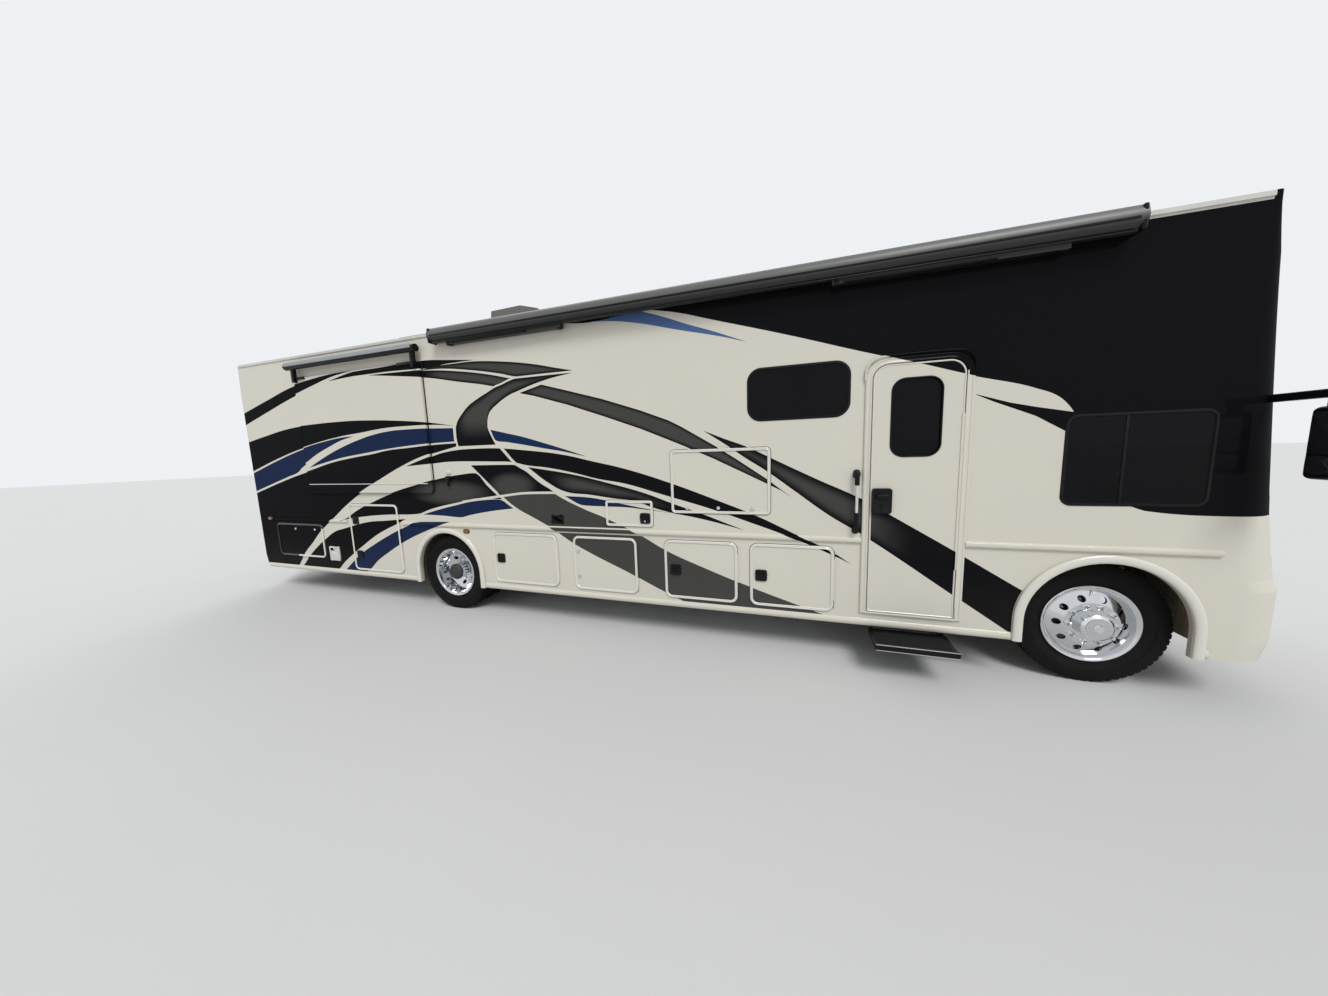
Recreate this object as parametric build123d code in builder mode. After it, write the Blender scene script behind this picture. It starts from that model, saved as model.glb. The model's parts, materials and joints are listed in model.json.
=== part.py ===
"""Motorhome about eleven metres long on a truck chassis with a front engine.

Millimetres. +X is forward, +Y the driver's side, +Z up. The origin is on the ground, under the
middle of the overall length and width. Places along the body are given ahead of the rear axle.
"""

import os

from build123d import *

os.makedirs("parts", exist_ok=True)

RIGHT, LEFT = -1, 1

# Chassis and running gear
wheelbase = 6147
front_overhang = 1120  # front axle to the bumper's face
rear_overhang = 3860  # rear axle to the ladder
tyre_diameter = 936
tyre_width = 240
rim_diameter = 572
rim_width = 190
dual_spacing = 275  # between the middles of twin tyres
rear_tyre_recess = 45  # outer tyre's side inside the wall's face
front_tyre_recess = 107
kingpin_offset = 125  # kingpin to the middle of the tyre
rail_spacing = 864  # outer faces of the chassis rails
rail_height = 220
rail_top = 960
rail_flange = 75
rail_web = 9
spring_width = 76
leaf_thickness = 14
running_gap = 0.4  # between a pin or spindle and its hole
seat_gap = 0.3  # between curved or moving faces that rest on each other

# Body
body_width = 2515
wall = 50  # laminated side wall
skirt = 30  # thinner wall below the deck
cap_wall = 32
skirt_bottom = 335
wall_top = 3250
roof_thickness = 50
roof_crown = 90
deck_top = 1100
deck_thickness = 60
front_seam = 6710  # front cap to side wall, ahead of the rear axle
rear_seam = -3560  # rear cap to side wall
ladder_reach = 110  # ladder's outer face behind the rear cap
bumper_proud = 25
door_gap = 5
arch_radius = 474
arch_height = 507  # centre of the arch's round top
arch_moulding = 62
moulding_proud = 20
rub_rail_bottom = 1055
rub_rail_top = 1105
rub_rail_proud = 16
bead_height = 60
bead_proud = 12
hinge_offset = 8  # hinge line past the door's edge
hinge_lift = 8  # hinge line off the wall's face
knuckle_radius = 4
door_proud = 4
trim_width = 26
trim_proud = 4

# Worked out from the above
overall_length = front_overhang + wheelbase + rear_overhang
half_length = overall_length / 2
rear_axle_x = rear_overhang - half_length
front_axle_x = rear_axle_x + wheelbase
half_width = body_width / 2
axle_height = tyre_diameter / 2
deck_bottom = deck_top - deck_thickness
roof_edge = wall_top + roof_thickness
roof_top = roof_edge + roof_crown
rear_face = half_length - ladder_reach
front_face = half_length - bumper_proud
rear_tyre_y = half_width - rear_tyre_recess - tyre_width / 2
front_tyre_y = half_width - front_tyre_recess - tyre_width / 2
kingpin_y = front_tyre_y - kingpin_offset
inner_face = half_width - wall


def ahead(distance):
    """X of a place given ahead of the rear axle."""
    return rear_axle_x + distance


def slab_plane(side, inner, outer):
    """Plane in X and Z from which a slab between two distances from the middle is extruded."""
    return Plane.XZ.offset(inner if side == RIGHT else -outer)


def rounded_opening(rear, front, bottom, top, radius, grow=0.0):
    """Rounded rectangle in X and Z, grown on every side."""
    with Locations((ahead((rear + front) / 2), (bottom + top) / 2)):
        RectangleRounded(front - rear + 2 * grow, top - bottom + 2 * grow, radius + grow)


def entry_outline(grow=0.0, sill=None):
    """Entry door's outline, round above and square below, grown on its sides and by its sill."""
    low = entry_bottom - (grow if sill is None else sill)
    high = entry_top + grow
    width = entry_front - entry_rear + 2 * grow
    middle_x = ahead((entry_rear + entry_front) / 2)
    with Locations((middle_x, (low + high) / 2)):
        RectangleRounded(width, high - low, entry_radius + grow)
    with Locations((middle_x, low + 300)):
        Rectangle(width, 600)


def arch_outline(centre_x, radius, foot):
    """Wheel arch with a round top and upright sides down to its foot."""
    with Locations((centre_x, arch_height)):
        Circle(radius)
    with Locations((centre_x, (foot + arch_height) / 2)):
        Rectangle(2 * radius, arch_height - foot)
    with Locations((centre_x, foot - radius)):
        Rectangle(2 * radius, 2 * radius, mode=Mode.SUBTRACT)


# Doors in the skirt and walls: name, side, rear, front, bottom, top, corner radius, hinged edge,
# places of the latches ahead of the rear axle and above the ground. Three doors have round locks.
doors = [
    ("baggage_door_1", RIGHT, 700, 1560, 430, 1015, 70, "front", [(803, 716)]),
    ("baggage_door_2", RIGHT, 1765, 2500, 430, 1015, 70, "front", [(1824, 851), (1824, 575)]),
    ("baggage_door_3", RIGHT, 2795, 3510, 430, 1015, 70, "front", [(2908, 718)]),
    ("baggage_door_4", RIGHT, 3625, 4340, 430, 1015, 70, "front", [(3726, 718)]),
    ("rear_tall_door", RIGHT, -1665, -765, 415, 1318, 70, "front", [(-1548, 1098), (-1540, 632)]),
    ("far_rear_door", RIGHT, -3250, -2245, 540, 1020, 70, "bottom", [(-2820, 944), (-2403, 944)]),
    ("small_side_door", RIGHT, 2175, 2690, 1135, 1400, 30, "rear", [(2606, 1222)]),
    ("outside_screen_door", RIGHT, 2885, 3810, 1282, 1885, 40, "top",
     [(3041, 1332), (3342, 1337), (3650, 1334)]),
    ("left_baggage_door_1", LEFT, 700, 1750, 430, 1015, 70, "front", [(790, 720)]),
    ("left_baggage_door_2", LEFT, 3050, 4340, 430, 1015, 70, "front", [(3150, 720)]),
    ("left_rear_door", LEFT, -1665, -765, 430, 1015, 70, "front", [(-1580, 720)]),
]
round_locks = ("baggage_door_2", "far_rear_door", "outside_screen_door")

# Windows in the walls: side, rear, front, bottom, top, corner radius
windows = [
    (RIGHT, 3620, 4430, 2118, 2554, 110),
    (RIGHT, 5840, 6600, 1400, 2030, 60),
    (LEFT, 5840, 6600, 1400, 2030, 60),
    (LEFT, -2300, -1400, 1950, 2520, 110),
    (LEFT, -600, 100, 1950, 2520, 110),
]

# Slide-out rooms: name, side, rear, front, bottom, top, depth inside the wall, travel
slide_outs = [
    ("bedroom_slide_out", RIGHT, -2342, -105, 1470, 3000, 680, 610),
    ("living_slide_out", LEFT, 700, 4550, 1180, 3000, 840, 760),
]
slide_flange = 26  # panel over the opening's edge
slide_panel = 34
slide_radius = 46
slide_wall = 40
slide_gap = 9
topper_radius = 42

# Windows in the living slide-out: rear, front, bottom, top, corner radius
slide_windows = [
    (1100, 2300, 1900, 2560, 110),
    (2900, 4150, 1900, 2560, 110),
]

entry_rear, entry_front, entry_bottom, entry_top = 4600, 5220, 470, 2490
entry_frame = 55
entry_sill = 18  # frame below the door
entry_frame_proud = 12
entry_leaf = 45
entry_leaf_proud = 14
entry_radius = 110
stairwell_depth = 640

# Stretches of the rub rail, which stops short of the tall rear door and the entry door's frame
rub_rail_runs = {
    RIGHT: [
        (rear_seam, -1710),
        (-690, entry_rear - entry_frame),
        (entry_front + entry_frame, front_seam),
    ],
    LEFT: [(rear_seam, front_seam)],
}

# Side walls, with their rub rail, bottom bead, arch mouldings and door openings
for name, side in (("right_wall", RIGHT), ("left_wall", LEFT)):
    side_doors = [door for door in doors if door[1] == side]
    with BuildPart() as side_wall:
        with BuildSketch(slab_plane(side, inner_face, half_width)):
            with Locations((ahead((rear_seam + front_seam) / 2), (skirt_bottom + wall_top) / 2)):
                Rectangle(front_seam - rear_seam, wall_top - skirt_bottom)
        extrude(amount=wall)
        with BuildSketch(slab_plane(side, inner_face, half_width - skirt)):
            with Locations((ahead((rear_seam + front_seam) / 2), (skirt_bottom + deck_bottom) / 2)):
                Rectangle(front_seam - rear_seam, deck_bottom - skirt_bottom)
        extrude(amount=wall - skirt, mode=Mode.SUBTRACT)
        for rear, front in rub_rail_runs[side]:
            with BuildSketch(Plane.YZ.offset(ahead(rear))):
                with BuildLine():
                    Polyline(
                        (side * half_width, rub_rail_top),
                        (side * (half_width + rub_rail_proud), rub_rail_top - 8),
                        (side * (half_width + rub_rail_proud), rub_rail_bottom + 8),
                        (side * half_width, rub_rail_bottom),
                        close=True,
                    )
                make_face()
            extrude(amount=front - rear)
        with BuildSketch(Plane.YZ.offset(ahead(rear_seam))):
            with BuildLine():
                ThreePointArc(
                    (side * half_width, skirt_bottom),
                    (side * (half_width + bead_proud), skirt_bottom + bead_height / 2),
                    (side * half_width, skirt_bottom + bead_height),
                )
                Line(
                    (side * half_width, skirt_bottom + bead_height),
                    (side * half_width, skirt_bottom),
                )
            make_face()
        extrude(amount=front_seam - rear_seam)
        outer = half_width + moulding_proud
        with BuildSketch(slab_plane(side, half_width - skirt, outer)):
            for axle_x in (rear_axle_x, front_axle_x):
                arch_outline(axle_x, arch_radius + arch_moulding, skirt_bottom)
        extrude(amount=outer - half_width + skirt)
        if side == RIGHT:
            frame_face = half_width + entry_frame_proud
            with BuildSketch(slab_plane(side, half_width - 1, frame_face)):
                entry_outline(entry_frame, entry_sill)
            extrude(amount=entry_frame_proud + 1)
        with BuildSketch(slab_plane(side, inner_face - 1, outer + 1)):
            for axle_x in (rear_axle_x, front_axle_x):
                arch_outline(axle_x, arch_radius, 0)
            for door in side_doors:
                rounded_opening(*door[2:7], door_gap)
            for window in windows:
                if window[0] == side:
                    rounded_opening(*window[1:])
            for room in slide_outs:
                if room[1] == side:
                    rounded_opening(*room[2:6], slide_radius, -slide_flange)
            if side == RIGHT:
                entry_outline(door_gap)
        extrude(amount=outer - inner_face + 2, mode=Mode.SUBTRACT)
        for door in side_doors:
            rear, front, bottom, top, hinged = *door[2:6], door[7]
            level = hinged in ("top", "bottom")
            edge_length = front - rear if level else top - bottom
            fixed_length = edge_length / 8
            for end in (-1, 1):
                shift = end * (edge_length / 2 - fixed_length)
                if level:
                    line_z = top + hinge_offset if hinged == "top" else bottom - hinge_offset
                    centre = (ahead((rear + front) / 2) + shift, 0, line_z)
                    axis = (0, 90, 0)
                    strip = (fixed_length, hinge_lift + 1, 2 * knuckle_radius)
                else:
                    edge = front + hinge_offset if hinged == "front" else rear - hinge_offset
                    centre = (ahead(edge), 0, (bottom + top) / 2 + shift)
                    axis = (0, 0, 0)
                    strip = (2 * knuckle_radius, hinge_lift + 1, fixed_length)
                line_y = side * (half_width + hinge_lift)
                with Locations(Location((centre[0], line_y, centre[2]), axis)):
                    Cylinder(knuckle_radius, fixed_length)
                foot_y = side * (half_width + (hinge_lift - 1) / 2)
                with Locations((centre[0], foot_y, centre[2])):
                    Box(*strip)
        if side == RIGHT:
            line_y = side * (half_width + entry_frame_proud + hinge_lift)
            for height in (entry_bottom + 250, entry_top - 250):
                with Locations((ahead(entry_front + hinge_offset), line_y, height)):
                    Cylinder(knuckle_radius, 300)
                foot_y = side * (half_width + entry_frame_proud + (hinge_lift - 1) / 2)
                with Locations((ahead(entry_front + hinge_offset), foot_y, height)):
                    Box(2 * knuckle_radius, hinge_lift + 1, 300)
        # Joint between the house wall and the thinner skirt panel
        joint_x = ahead((rear_seam + front_seam) / 2)
        with Locations((joint_x, side * half_width, deck_bottom - seat_gap / 2)):
            Box(front_seam - rear_seam + 2, 4 * wall, seat_gap, mode=Mode.SUBTRACT)
    side_wall.part.label = name
    export_step(side_wall.part, f"parts/{name}.step")

# Compartment doors, each with a trim ring, latches and the middle knuckle of its hinge
latch_size = 100
lock_radius = 14
for name, side, rear, front, bottom, top, radius, hinged, latches in doors:
    face = half_width + door_proud
    with BuildPart() as door:
        with BuildSketch(slab_plane(side, half_width - skirt, face)):
            rounded_opening(rear, front, bottom, top, radius)
        extrude(amount=skirt + door_proud)
        with BuildSketch(slab_plane(side, face, face + trim_proud)):
            rounded_opening(rear, front, bottom, top, radius)
            with Locations((ahead((rear + front) / 2), (bottom + top) / 2)):
                RectangleRounded(
                    front - rear - 2 * trim_width,
                    top - bottom - 2 * trim_width,
                    radius - trim_width if radius > trim_width + 5 else 5,
                    mode=Mode.SUBTRACT,
                )
        extrude(amount=trim_proud)
        with BuildSketch(slab_plane(side, face, face + 10)):
            for latch_x, latch_z in latches:
                with Locations((ahead(latch_x), latch_z)):
                    if name in round_locks:
                        Circle(lock_radius)
                    else:
                        RectangleRounded(latch_size, latch_size, 16)
        extrude(amount=10)
        level = hinged in ("top", "bottom")
        edge_length = front - rear if level else top - bottom
        turning_length = edge_length * 5 / 8 - 2 * running_gap
        line_y = side * (half_width + hinge_lift)
        strap = hinge_offset + 14
        if level:
            upper = 1 if hinged == "top" else -1
            line_z = top + hinge_offset if hinged == "top" else bottom - hinge_offset
            centre = (ahead((rear + front) / 2), line_y, line_z)
            axis = (0, 90, 0)
            plate = (turning_length, hinge_lift - door_proud, strap)
            shift = (0, -upper * strap / 2)
        else:
            forward = 1 if hinged == "front" else -1
            edge = front + hinge_offset if hinged == "front" else rear - hinge_offset
            centre = (ahead(edge), line_y, (bottom + top) / 2)
            axis = (0, 0, 0)
            plate = (strap, hinge_lift - door_proud, turning_length)
            shift = (-forward * strap / 2, 0)
        with Locations(Location(centre, axis)):
            Cylinder(knuckle_radius, turning_length)
        plate_y = side * (half_width + (hinge_lift + door_proud) / 2)
        with Locations((centre[0] + shift[0], plate_y, centre[2] + shift[1])):
            Box(*plate)
    door.part.label = name
    export_step(door.part, f"parts/{name}.step")

# Entry door with its window cut through, latch plate and hinge
entry_window = (4735, 5075, 1775, 2376, 95)
entry_latch = (4683, 1418)
leaf_face = half_width + entry_leaf_proud
with BuildPart() as entry_door:
    with BuildSketch(slab_plane(RIGHT, leaf_face - entry_leaf, leaf_face)):
        entry_outline()
        with BuildSketch(mode=Mode.SUBTRACT):
            rounded_opening(*entry_window)
    extrude(amount=entry_leaf)
    with BuildSketch(slab_plane(RIGHT, leaf_face, leaf_face + 26)):
        with Locations((ahead(entry_latch[0]), entry_latch[1])):
            RectangleRounded(140, 200, 18)
    extrude(amount=26)
    hinge_y = -(half_width + entry_frame_proud + hinge_lift)
    turning = entry_top - entry_bottom - 800 - 2 * running_gap
    with Locations((ahead(entry_front + hinge_offset), hinge_y, (entry_bottom + entry_top) / 2)):
        Cylinder(knuckle_radius, turning)
    plate_y = -(half_width + entry_leaf_proud + (hinge_lift - 2) / 2)
    with Locations((ahead(entry_front - 3), plate_y, (entry_bottom + entry_top) / 2)):
        Box(2 * hinge_offset + 6, hinge_lift - 2, turning)
entry_door.part.label = "entry_door"
export_step(entry_door.part, "parts/entry_door.step")

glass = 8
with BuildPart() as entry_door_window:
    with BuildSketch(slab_plane(RIGHT, leaf_face - entry_leaf / 2, leaf_face - entry_leaf / 2 + glass)):
        rounded_opening(*entry_window)
    extrude(amount=glass)
entry_door_window.part.label = "entry_door_window"
export_step(entry_door_window.part, "parts/entry_door_window.step")

with BuildPart() as side_windows:
    for side, *pane in windows:
        with BuildSketch(slab_plane(side, half_width - glass, half_width)):
            rounded_opening(*pane)
        extrude(amount=glass)
side_windows.part.label = "side_windows"
export_step(side_windows.part, "parts/side_windows.step")

# Slide-out rooms: a flanged outer panel on a hollow box that is open inwards
for name, side, rear, front, bottom, top, depth, travel in slide_outs:
    panel_inner = half_width + seat_gap
    panel_outer = panel_inner + slide_panel
    with BuildPart() as room:
        with BuildSketch(slab_plane(side, panel_inner, panel_outer)):
            rounded_opening(rear, front, bottom, top, slide_radius)
        extrude(amount=slide_panel)
        shrink = slide_flange + slide_gap
        with BuildSketch(slab_plane(side, half_width - depth, panel_inner)):
            rounded_opening(rear, front, bottom, top, slide_radius, -shrink)
            with Locations((ahead((rear + front) / 2), (bottom + top) / 2)):
                inset = shrink + slide_wall
                Rectangle(front - rear - 2 * inset, top - bottom - 2 * inset, mode=Mode.SUBTRACT)
        extrude(amount=depth + panel_inner - half_width)
        if side == LEFT:
            with BuildSketch(slab_plane(side, panel_inner - 1, panel_outer + 1)):
                for pane in slide_windows:
                    rounded_opening(*pane)
            extrude(amount=slide_panel + 2, mode=Mode.SUBTRACT)
    room.part.label = name
    export_step(room.part, f"parts/{name}.step")
    with BuildPart() as topper:
        roller_y = side * (panel_outer + topper_radius + 6)
        middle = (ahead((rear + front) / 2), roller_y, top + 140)
        with Locations(Location(middle, (0, 90, 0))):
            Cylinder(topper_radius, front - rear + 60)
        for end in (-1, 1):
            bracket_x = middle[0] + end * ((front - rear) / 2 - 60)
            bracket_y = side * (panel_outer + (topper_radius + 6) / 2)
            with Locations((bracket_x, bracket_y, top + 40)):
                Box(36, topper_radius + 6, 200)
    topper_name = name.replace("slide_out", "slide_topper")
    topper.part.label = topper_name
    export_step(topper.part, f"parts/{topper_name}.step")

with BuildPart() as slide_out_windows:
    with BuildSketch(slab_plane(LEFT, half_width + 12, half_width + 12 + glass)):
        for pane in slide_windows:
            rounded_opening(*pane)
    extrude(amount=glass)
slide_out_windows.part.label = "slide_out_windows"
export_step(slide_out_windows.part, "parts/slide_out_windows.step")


# Caps at the front and rear, from level sections
def crowned_outline(plane, inset):
    """Body's cross-section in Y and Z with the crowned roof."""
    half = half_width - inset
    edge = roof_edge - inset
    with BuildSketch(plane) as outline:
        with BuildLine():
            Polyline((-half, edge), (-half, 0), (half, 0), (half, edge))
            ThreePointArc((half, edge), (0, roof_top - inset), (-half, edge))
        make_face()
    return outline.sketch


def cap_solid(seam, face, rows, middle_bow, inset, drop=0.0):
    """Solid of the front cap's form between the seam and the face, inset on every side."""
    with BuildPart() as solid:
        for index, (height, setback, corner_depth, corner_width) in enumerate(rows):
            level = height - drop if index == 0 else height
            nose = face - setback - inset
            bow = middle_bow * corner_depth / rows[0][2]
            half = half_width - inset
            reach = corner_depth - inset
            spread = corner_width - inset
            side_end = nose - bow - reach
            shoulder = half - spread
            with BuildSketch(Plane.XY.offset(level)):
                with BuildLine():
                    Line((seam, -half), (side_end, -half))
                    EllipticalCenterArc((side_end, -shoulder), reach, spread, 270, arc_size=90)
                    ThreePointArc((nose - bow, -shoulder), (nose, 0), (nose - bow, shoulder))
                    EllipticalCenterArc((side_end, shoulder), reach, spread, 0, arc_size=90)
                    Line((side_end, half), (seam, half))
                    Line((seam, half), (seam, -half))
                make_face()
        loft(ruled=True)
        extrude(crowned_outline(Plane.YZ.offset(seam), inset), amount=face, mode=Mode.INTERSECT)
    return solid.part


front_bow, rear_bow = 60, 20
# Front cap's sections: height, setback of the middle, depth and width of the rounded corner
front_rows = [
    (skirt_bottom, 60, 300, 330),
    (450, 8, 330, 360),
    (820, 0, 330, 380),
    (900, 36, 330, 380),
    (1340, 90, 330, 400),
    (2560, 250, 215, 420),
    (2960, 310, 165, 430),
    (3230, 385, 105, 440),
    (3460, 430, 60, 450),
]
rear_rows = [
    (skirt_bottom + 40, 40, 110, 160),
    (520, 0, 120, 180),
    (2900, 24, 110, 200),
    (3200, 70, 80, 220),
    (3460, 120, 40, 240),
]
front_seam_x = ahead(front_seam)
rear_seam_x = ahead(rear_seam)


def front_solid(inset, drop=0.0):
    return cap_solid(front_seam_x, front_face, front_rows, front_bow, inset, drop)


def roof_form():
    """Solid under the roof's crowned surface, which cuts the foot of what stands on the roof."""
    with BuildPart() as form:
        extrude(crowned_outline(Plane.YZ.offset(rear_seam_x), -seat_gap), amount=front_seam_x - rear_seam_x)
    return form.part


def rear_solid(inset, drop=0.0):
    return mirror(cap_solid(-rear_seam_x, rear_face, rear_rows, rear_bow, inset, drop), about=Plane.YZ)


windshield_bottom, windshield_top = 1390, 2530
windshield_half_width = 1165
windshield_radius = 120
grille_bottom, grille_top, grille_half_width = 900, 1180, 560
lamp_bottom, lamp_top = 880, 1060
lamp_inner, lamp_outer = 720, 1130

with BuildPart() as front_cap:
    add(front_solid(0))
    add(front_solid(cap_wall, 60), mode=Mode.SUBTRACT)
    with BuildSketch(Plane.YZ.offset(front_seam_x + 60)):
        with Locations((0, (windshield_bottom + windshield_top) / 2)):
            RectangleRounded(
                2 * windshield_half_width, windshield_top - windshield_bottom, windshield_radius
            )
        with Locations((0, (grille_bottom + grille_top) / 2)):
            RectangleRounded(2 * grille_half_width, grille_top - grille_bottom, 60)
        for side in (RIGHT, LEFT):
            with Locations((side * (lamp_inner + lamp_outer) / 2, (lamp_bottom + lamp_top) / 2)):
                RectangleRounded(lamp_outer - lamp_inner, lamp_top - lamp_bottom, 50)
    extrude(amount=front_face - front_seam_x, mode=Mode.SUBTRACT)
front_cap.part.label = "front_cap"
export_step(front_cap.part, "parts/front_cap.step")

with BuildPart() as windshield:
    add(front_solid(10))
    add(front_solid(10 + glass, 60), mode=Mode.SUBTRACT)
    with BuildSketch(Plane.YZ.offset(front_seam_x + 60)):
        with Locations((0, (windshield_bottom + windshield_top) / 2)):
            RectangleRounded(
                2 * windshield_half_width, windshield_top - windshield_bottom, windshield_radius
            )
    extrude(amount=front_face - front_seam_x, mode=Mode.INTERSECT)
windshield.part.label = "windshield"
export_step(windshield.part, "parts/windshield.step")

with BuildPart() as headlamps:
    add(front_solid(-4))
    add(front_solid(30, 60), mode=Mode.SUBTRACT)
    with BuildSketch(Plane.YZ.offset(front_seam_x + 60)):
        for side in (RIGHT, LEFT):
            with Locations((side * (lamp_inner + lamp_outer) / 2, (lamp_bottom + lamp_top) / 2)):
                RectangleRounded(lamp_outer - lamp_inner, lamp_top - lamp_bottom, 50)
    extrude(amount=front_face - front_seam_x, mode=Mode.INTERSECT)
headlamps.part.label = "headlamps"
export_step(headlamps.part, "parts/headlamps.step")

grille_bar = 26
grille_rim = 30
grille_bars = 4
with BuildPart() as grille:
    add(front_solid(-2))
    add(front_solid(26, 60), mode=Mode.SUBTRACT)
    with BuildSketch(Plane.YZ.offset(front_seam_x + 60)):
        with Locations((0, (grille_bottom + grille_top) / 2)):
            RectangleRounded(2 * grille_half_width, grille_top - grille_bottom, 60)
            RectangleRounded(
                2 * (grille_half_width - grille_rim),
                grille_top - grille_bottom - 2 * grille_rim,
                30,
                mode=Mode.SUBTRACT,
            )
        clear_height = grille_top - grille_bottom - 2 * grille_rim
        with Locations((0, (grille_bottom + grille_top) / 2)):
            with GridLocations(0, clear_height / grille_bars, 1, grille_bars - 1):
                Rectangle(2 * grille_half_width - grille_rim, grille_bar)
    extrude(amount=front_face - front_seam_x, mode=Mode.INTERSECT)
grille.part.label = "grille"
export_step(grille.part, "parts/grille.step")

bumper_bottom, bumper_top = 400, 640
with BuildPart() as front_bumper:
    add(front_solid(-bumper_proud))
    add(front_solid(-seat_gap, 60), mode=Mode.SUBTRACT)
    with BuildSketch(Plane.XY.offset(bumper_bottom)):
        with Locations((front_face - 100, 0)):
            Rectangle(700, body_width - 500)
    extrude(amount=bumper_top - bumper_bottom, mode=Mode.INTERSECT)
front_bumper.part.label = "front_bumper"
export_step(front_bumper.part, "parts/front_bumper.step")

tail_bottom, tail_top, tail_inner, tail_outer = 1150, 1600, 980, 1120
with BuildPart() as rear_cap:
    add(rear_solid(0))
    add(rear_solid(cap_wall, 60), mode=Mode.SUBTRACT)
    with BuildSketch(Plane.YZ.offset(rear_seam_x - 60)):
        for side in (RIGHT, LEFT):
            with Locations((side * (tail_inner + tail_outer) / 2, (tail_bottom + tail_top) / 2)):
                RectangleRounded(tail_outer - tail_inner, tail_top - tail_bottom, 40)
    extrude(amount=-rear_face, mode=Mode.SUBTRACT)
rear_cap.part.label = "rear_cap"
export_step(rear_cap.part, "parts/rear_cap.step")

with BuildPart() as tail_lamps:
    add(rear_solid(-6))
    add(rear_solid(30, 60), mode=Mode.SUBTRACT)
    with BuildSketch(Plane.YZ.offset(rear_seam_x - 60)):
        for side in (RIGHT, LEFT):
            with Locations((side * (tail_inner + tail_outer) / 2, (tail_bottom + tail_top) / 2)):
                RectangleRounded(tail_outer - tail_inner, tail_top - tail_bottom, 40)
    extrude(amount=-rear_face, mode=Mode.INTERSECT)
tail_lamps.part.label = "tail_lamps"
export_step(tail_lamps.part, "parts/tail_lamps.step")

rear_bumper_proud = 60
with BuildPart() as rear_bumper:
    add(rear_solid(-rear_bumper_proud))
    add(rear_solid(-seat_gap, 60), mode=Mode.SUBTRACT)
    with BuildSketch(Plane.XY.offset(430)):
        with Locations((-rear_face, 0)):
            Rectangle(300, body_width - 260)
    extrude(amount=210, mode=Mode.INTERSECT)
rear_bumper.part.label = "rear_bumper"
export_step(rear_bumper.part, "parts/rear_bumper.step")

# Ladder on the rear cap: two bent rails with rungs and stand-off feet
ladder_y, ladder_width, ladder_tube = 760, 380, 13
ladder_x = -half_length + ladder_tube
ladder_bottom = 950
ladder_top = roof_top + 60
with BuildPart() as ladder:
    for rail in (-1, 1):
        rail_y = ladder_y + rail * ladder_width / 2
        with BuildLine() as rail_path:
            FilletPolyline(
                (ladder_x, rail_y, ladder_bottom),
                (ladder_x, rail_y, ladder_top),
                (ladder_x + 520, rail_y, ladder_top),
                (ladder_x + 520, rail_y, roof_edge + 20),
                radius=60,
            )
        with BuildSketch(Plane(rail_path.line @ 0, z_dir=rail_path.line % 0)):
            Circle(ladder_tube)
        sweep(path=rail_path.line)
        for height in (ladder_bottom + 60, 2000, 2950):
            with BuildSketch(Plane.YZ.offset(ladder_x)):
                with Locations((rail_y, height)):
                    Circle(9)
            extrude(amount=ladder_reach + 80)
    for step in range(8):
        with Locations(Location((ladder_x, ladder_y, ladder_bottom + 150 + step * 300), (90, 0, 0))):
            Cylinder(ladder_tube - 2, ladder_width)
    add(rear_solid(-seat_gap), mode=Mode.SUBTRACT)
    add(roof_form(), mode=Mode.SUBTRACT)
ladder.part.label = "ladder"
export_step(ladder.part, "parts/ladder.step")

# Roof between the caps, with its edge moulding
with BuildPart() as roof:
    with BuildSketch(Plane.YZ.offset(rear_seam_x)):
        with BuildLine():
            Polyline(
                (-inner_face, wall_top), (-half_width, wall_top), (-half_width, wall_top + 12),
                (-half_width - 12, wall_top + 16), (-half_width - 12, roof_edge - 6),
                (-half_width, roof_edge),
            )
            ThreePointArc((-half_width, roof_edge), (0, roof_top), (half_width, roof_edge))
            Polyline(
                (half_width, roof_edge), (half_width + 12, roof_edge - 6),
                (half_width + 12, wall_top + 16), (half_width, wall_top + 12),
                (half_width, wall_top), (inner_face, wall_top),
            )
            ThreePointArc(
                (inner_face, wall_top), (0, wall_top + roof_crown), (-inner_face, wall_top)
            )
        make_face()
    extrude(amount=front_seam_x - rear_seam_x)
roof.part.label = "roof"
export_step(roof.part, "parts/roof.step")

# Roof air conditioner with a sloping nose, and the low dark vents
unit_width = 740
unit_base = roof_top - 30
with BuildPart() as roof_air_conditioner:
    with BuildSketch(Plane.XZ.offset(-unit_width / 2)):
        with BuildLine():
            Polyline(
                (ahead(120), unit_base), (ahead(180), 3790), (ahead(640), 3800),
                (ahead(900), 3730), (ahead(1010), unit_base), close=True,
            )
        make_face()
    extrude(amount=unit_width)
    fillet(roof_air_conditioner.edges().filter_by(Axis.Y).group_by(Axis.Z)[-1], 30)
    add(roof_form(), mode=Mode.SUBTRACT)
roof_air_conditioner.part.label = "roof_air_conditioner"
export_step(roof_air_conditioner.part, "parts/roof_air_conditioner.step")

# Low vents: rear edge, front edge, width, height of the top
vents = [
    (-1660, -900, 740, 3680),
    (3440, 4200, 740, 3690),
    (1900, 2260, 360, 3500),
]
with BuildPart() as roof_vents:
    for rear, front, width, height in vents:
        with BuildSketch(Plane.XY.offset(unit_base)):
            with Locations((ahead((rear + front) / 2), 0)):
                RectangleRounded(front - rear, width, 60)
        extrude(amount=height - unit_base, taper=12)
    add(roof_form(), mode=Mode.SUBTRACT)
roof_vents.part.label = "roof_vents"
export_step(roof_vents.part, "parts/roof_vents.step")

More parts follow.
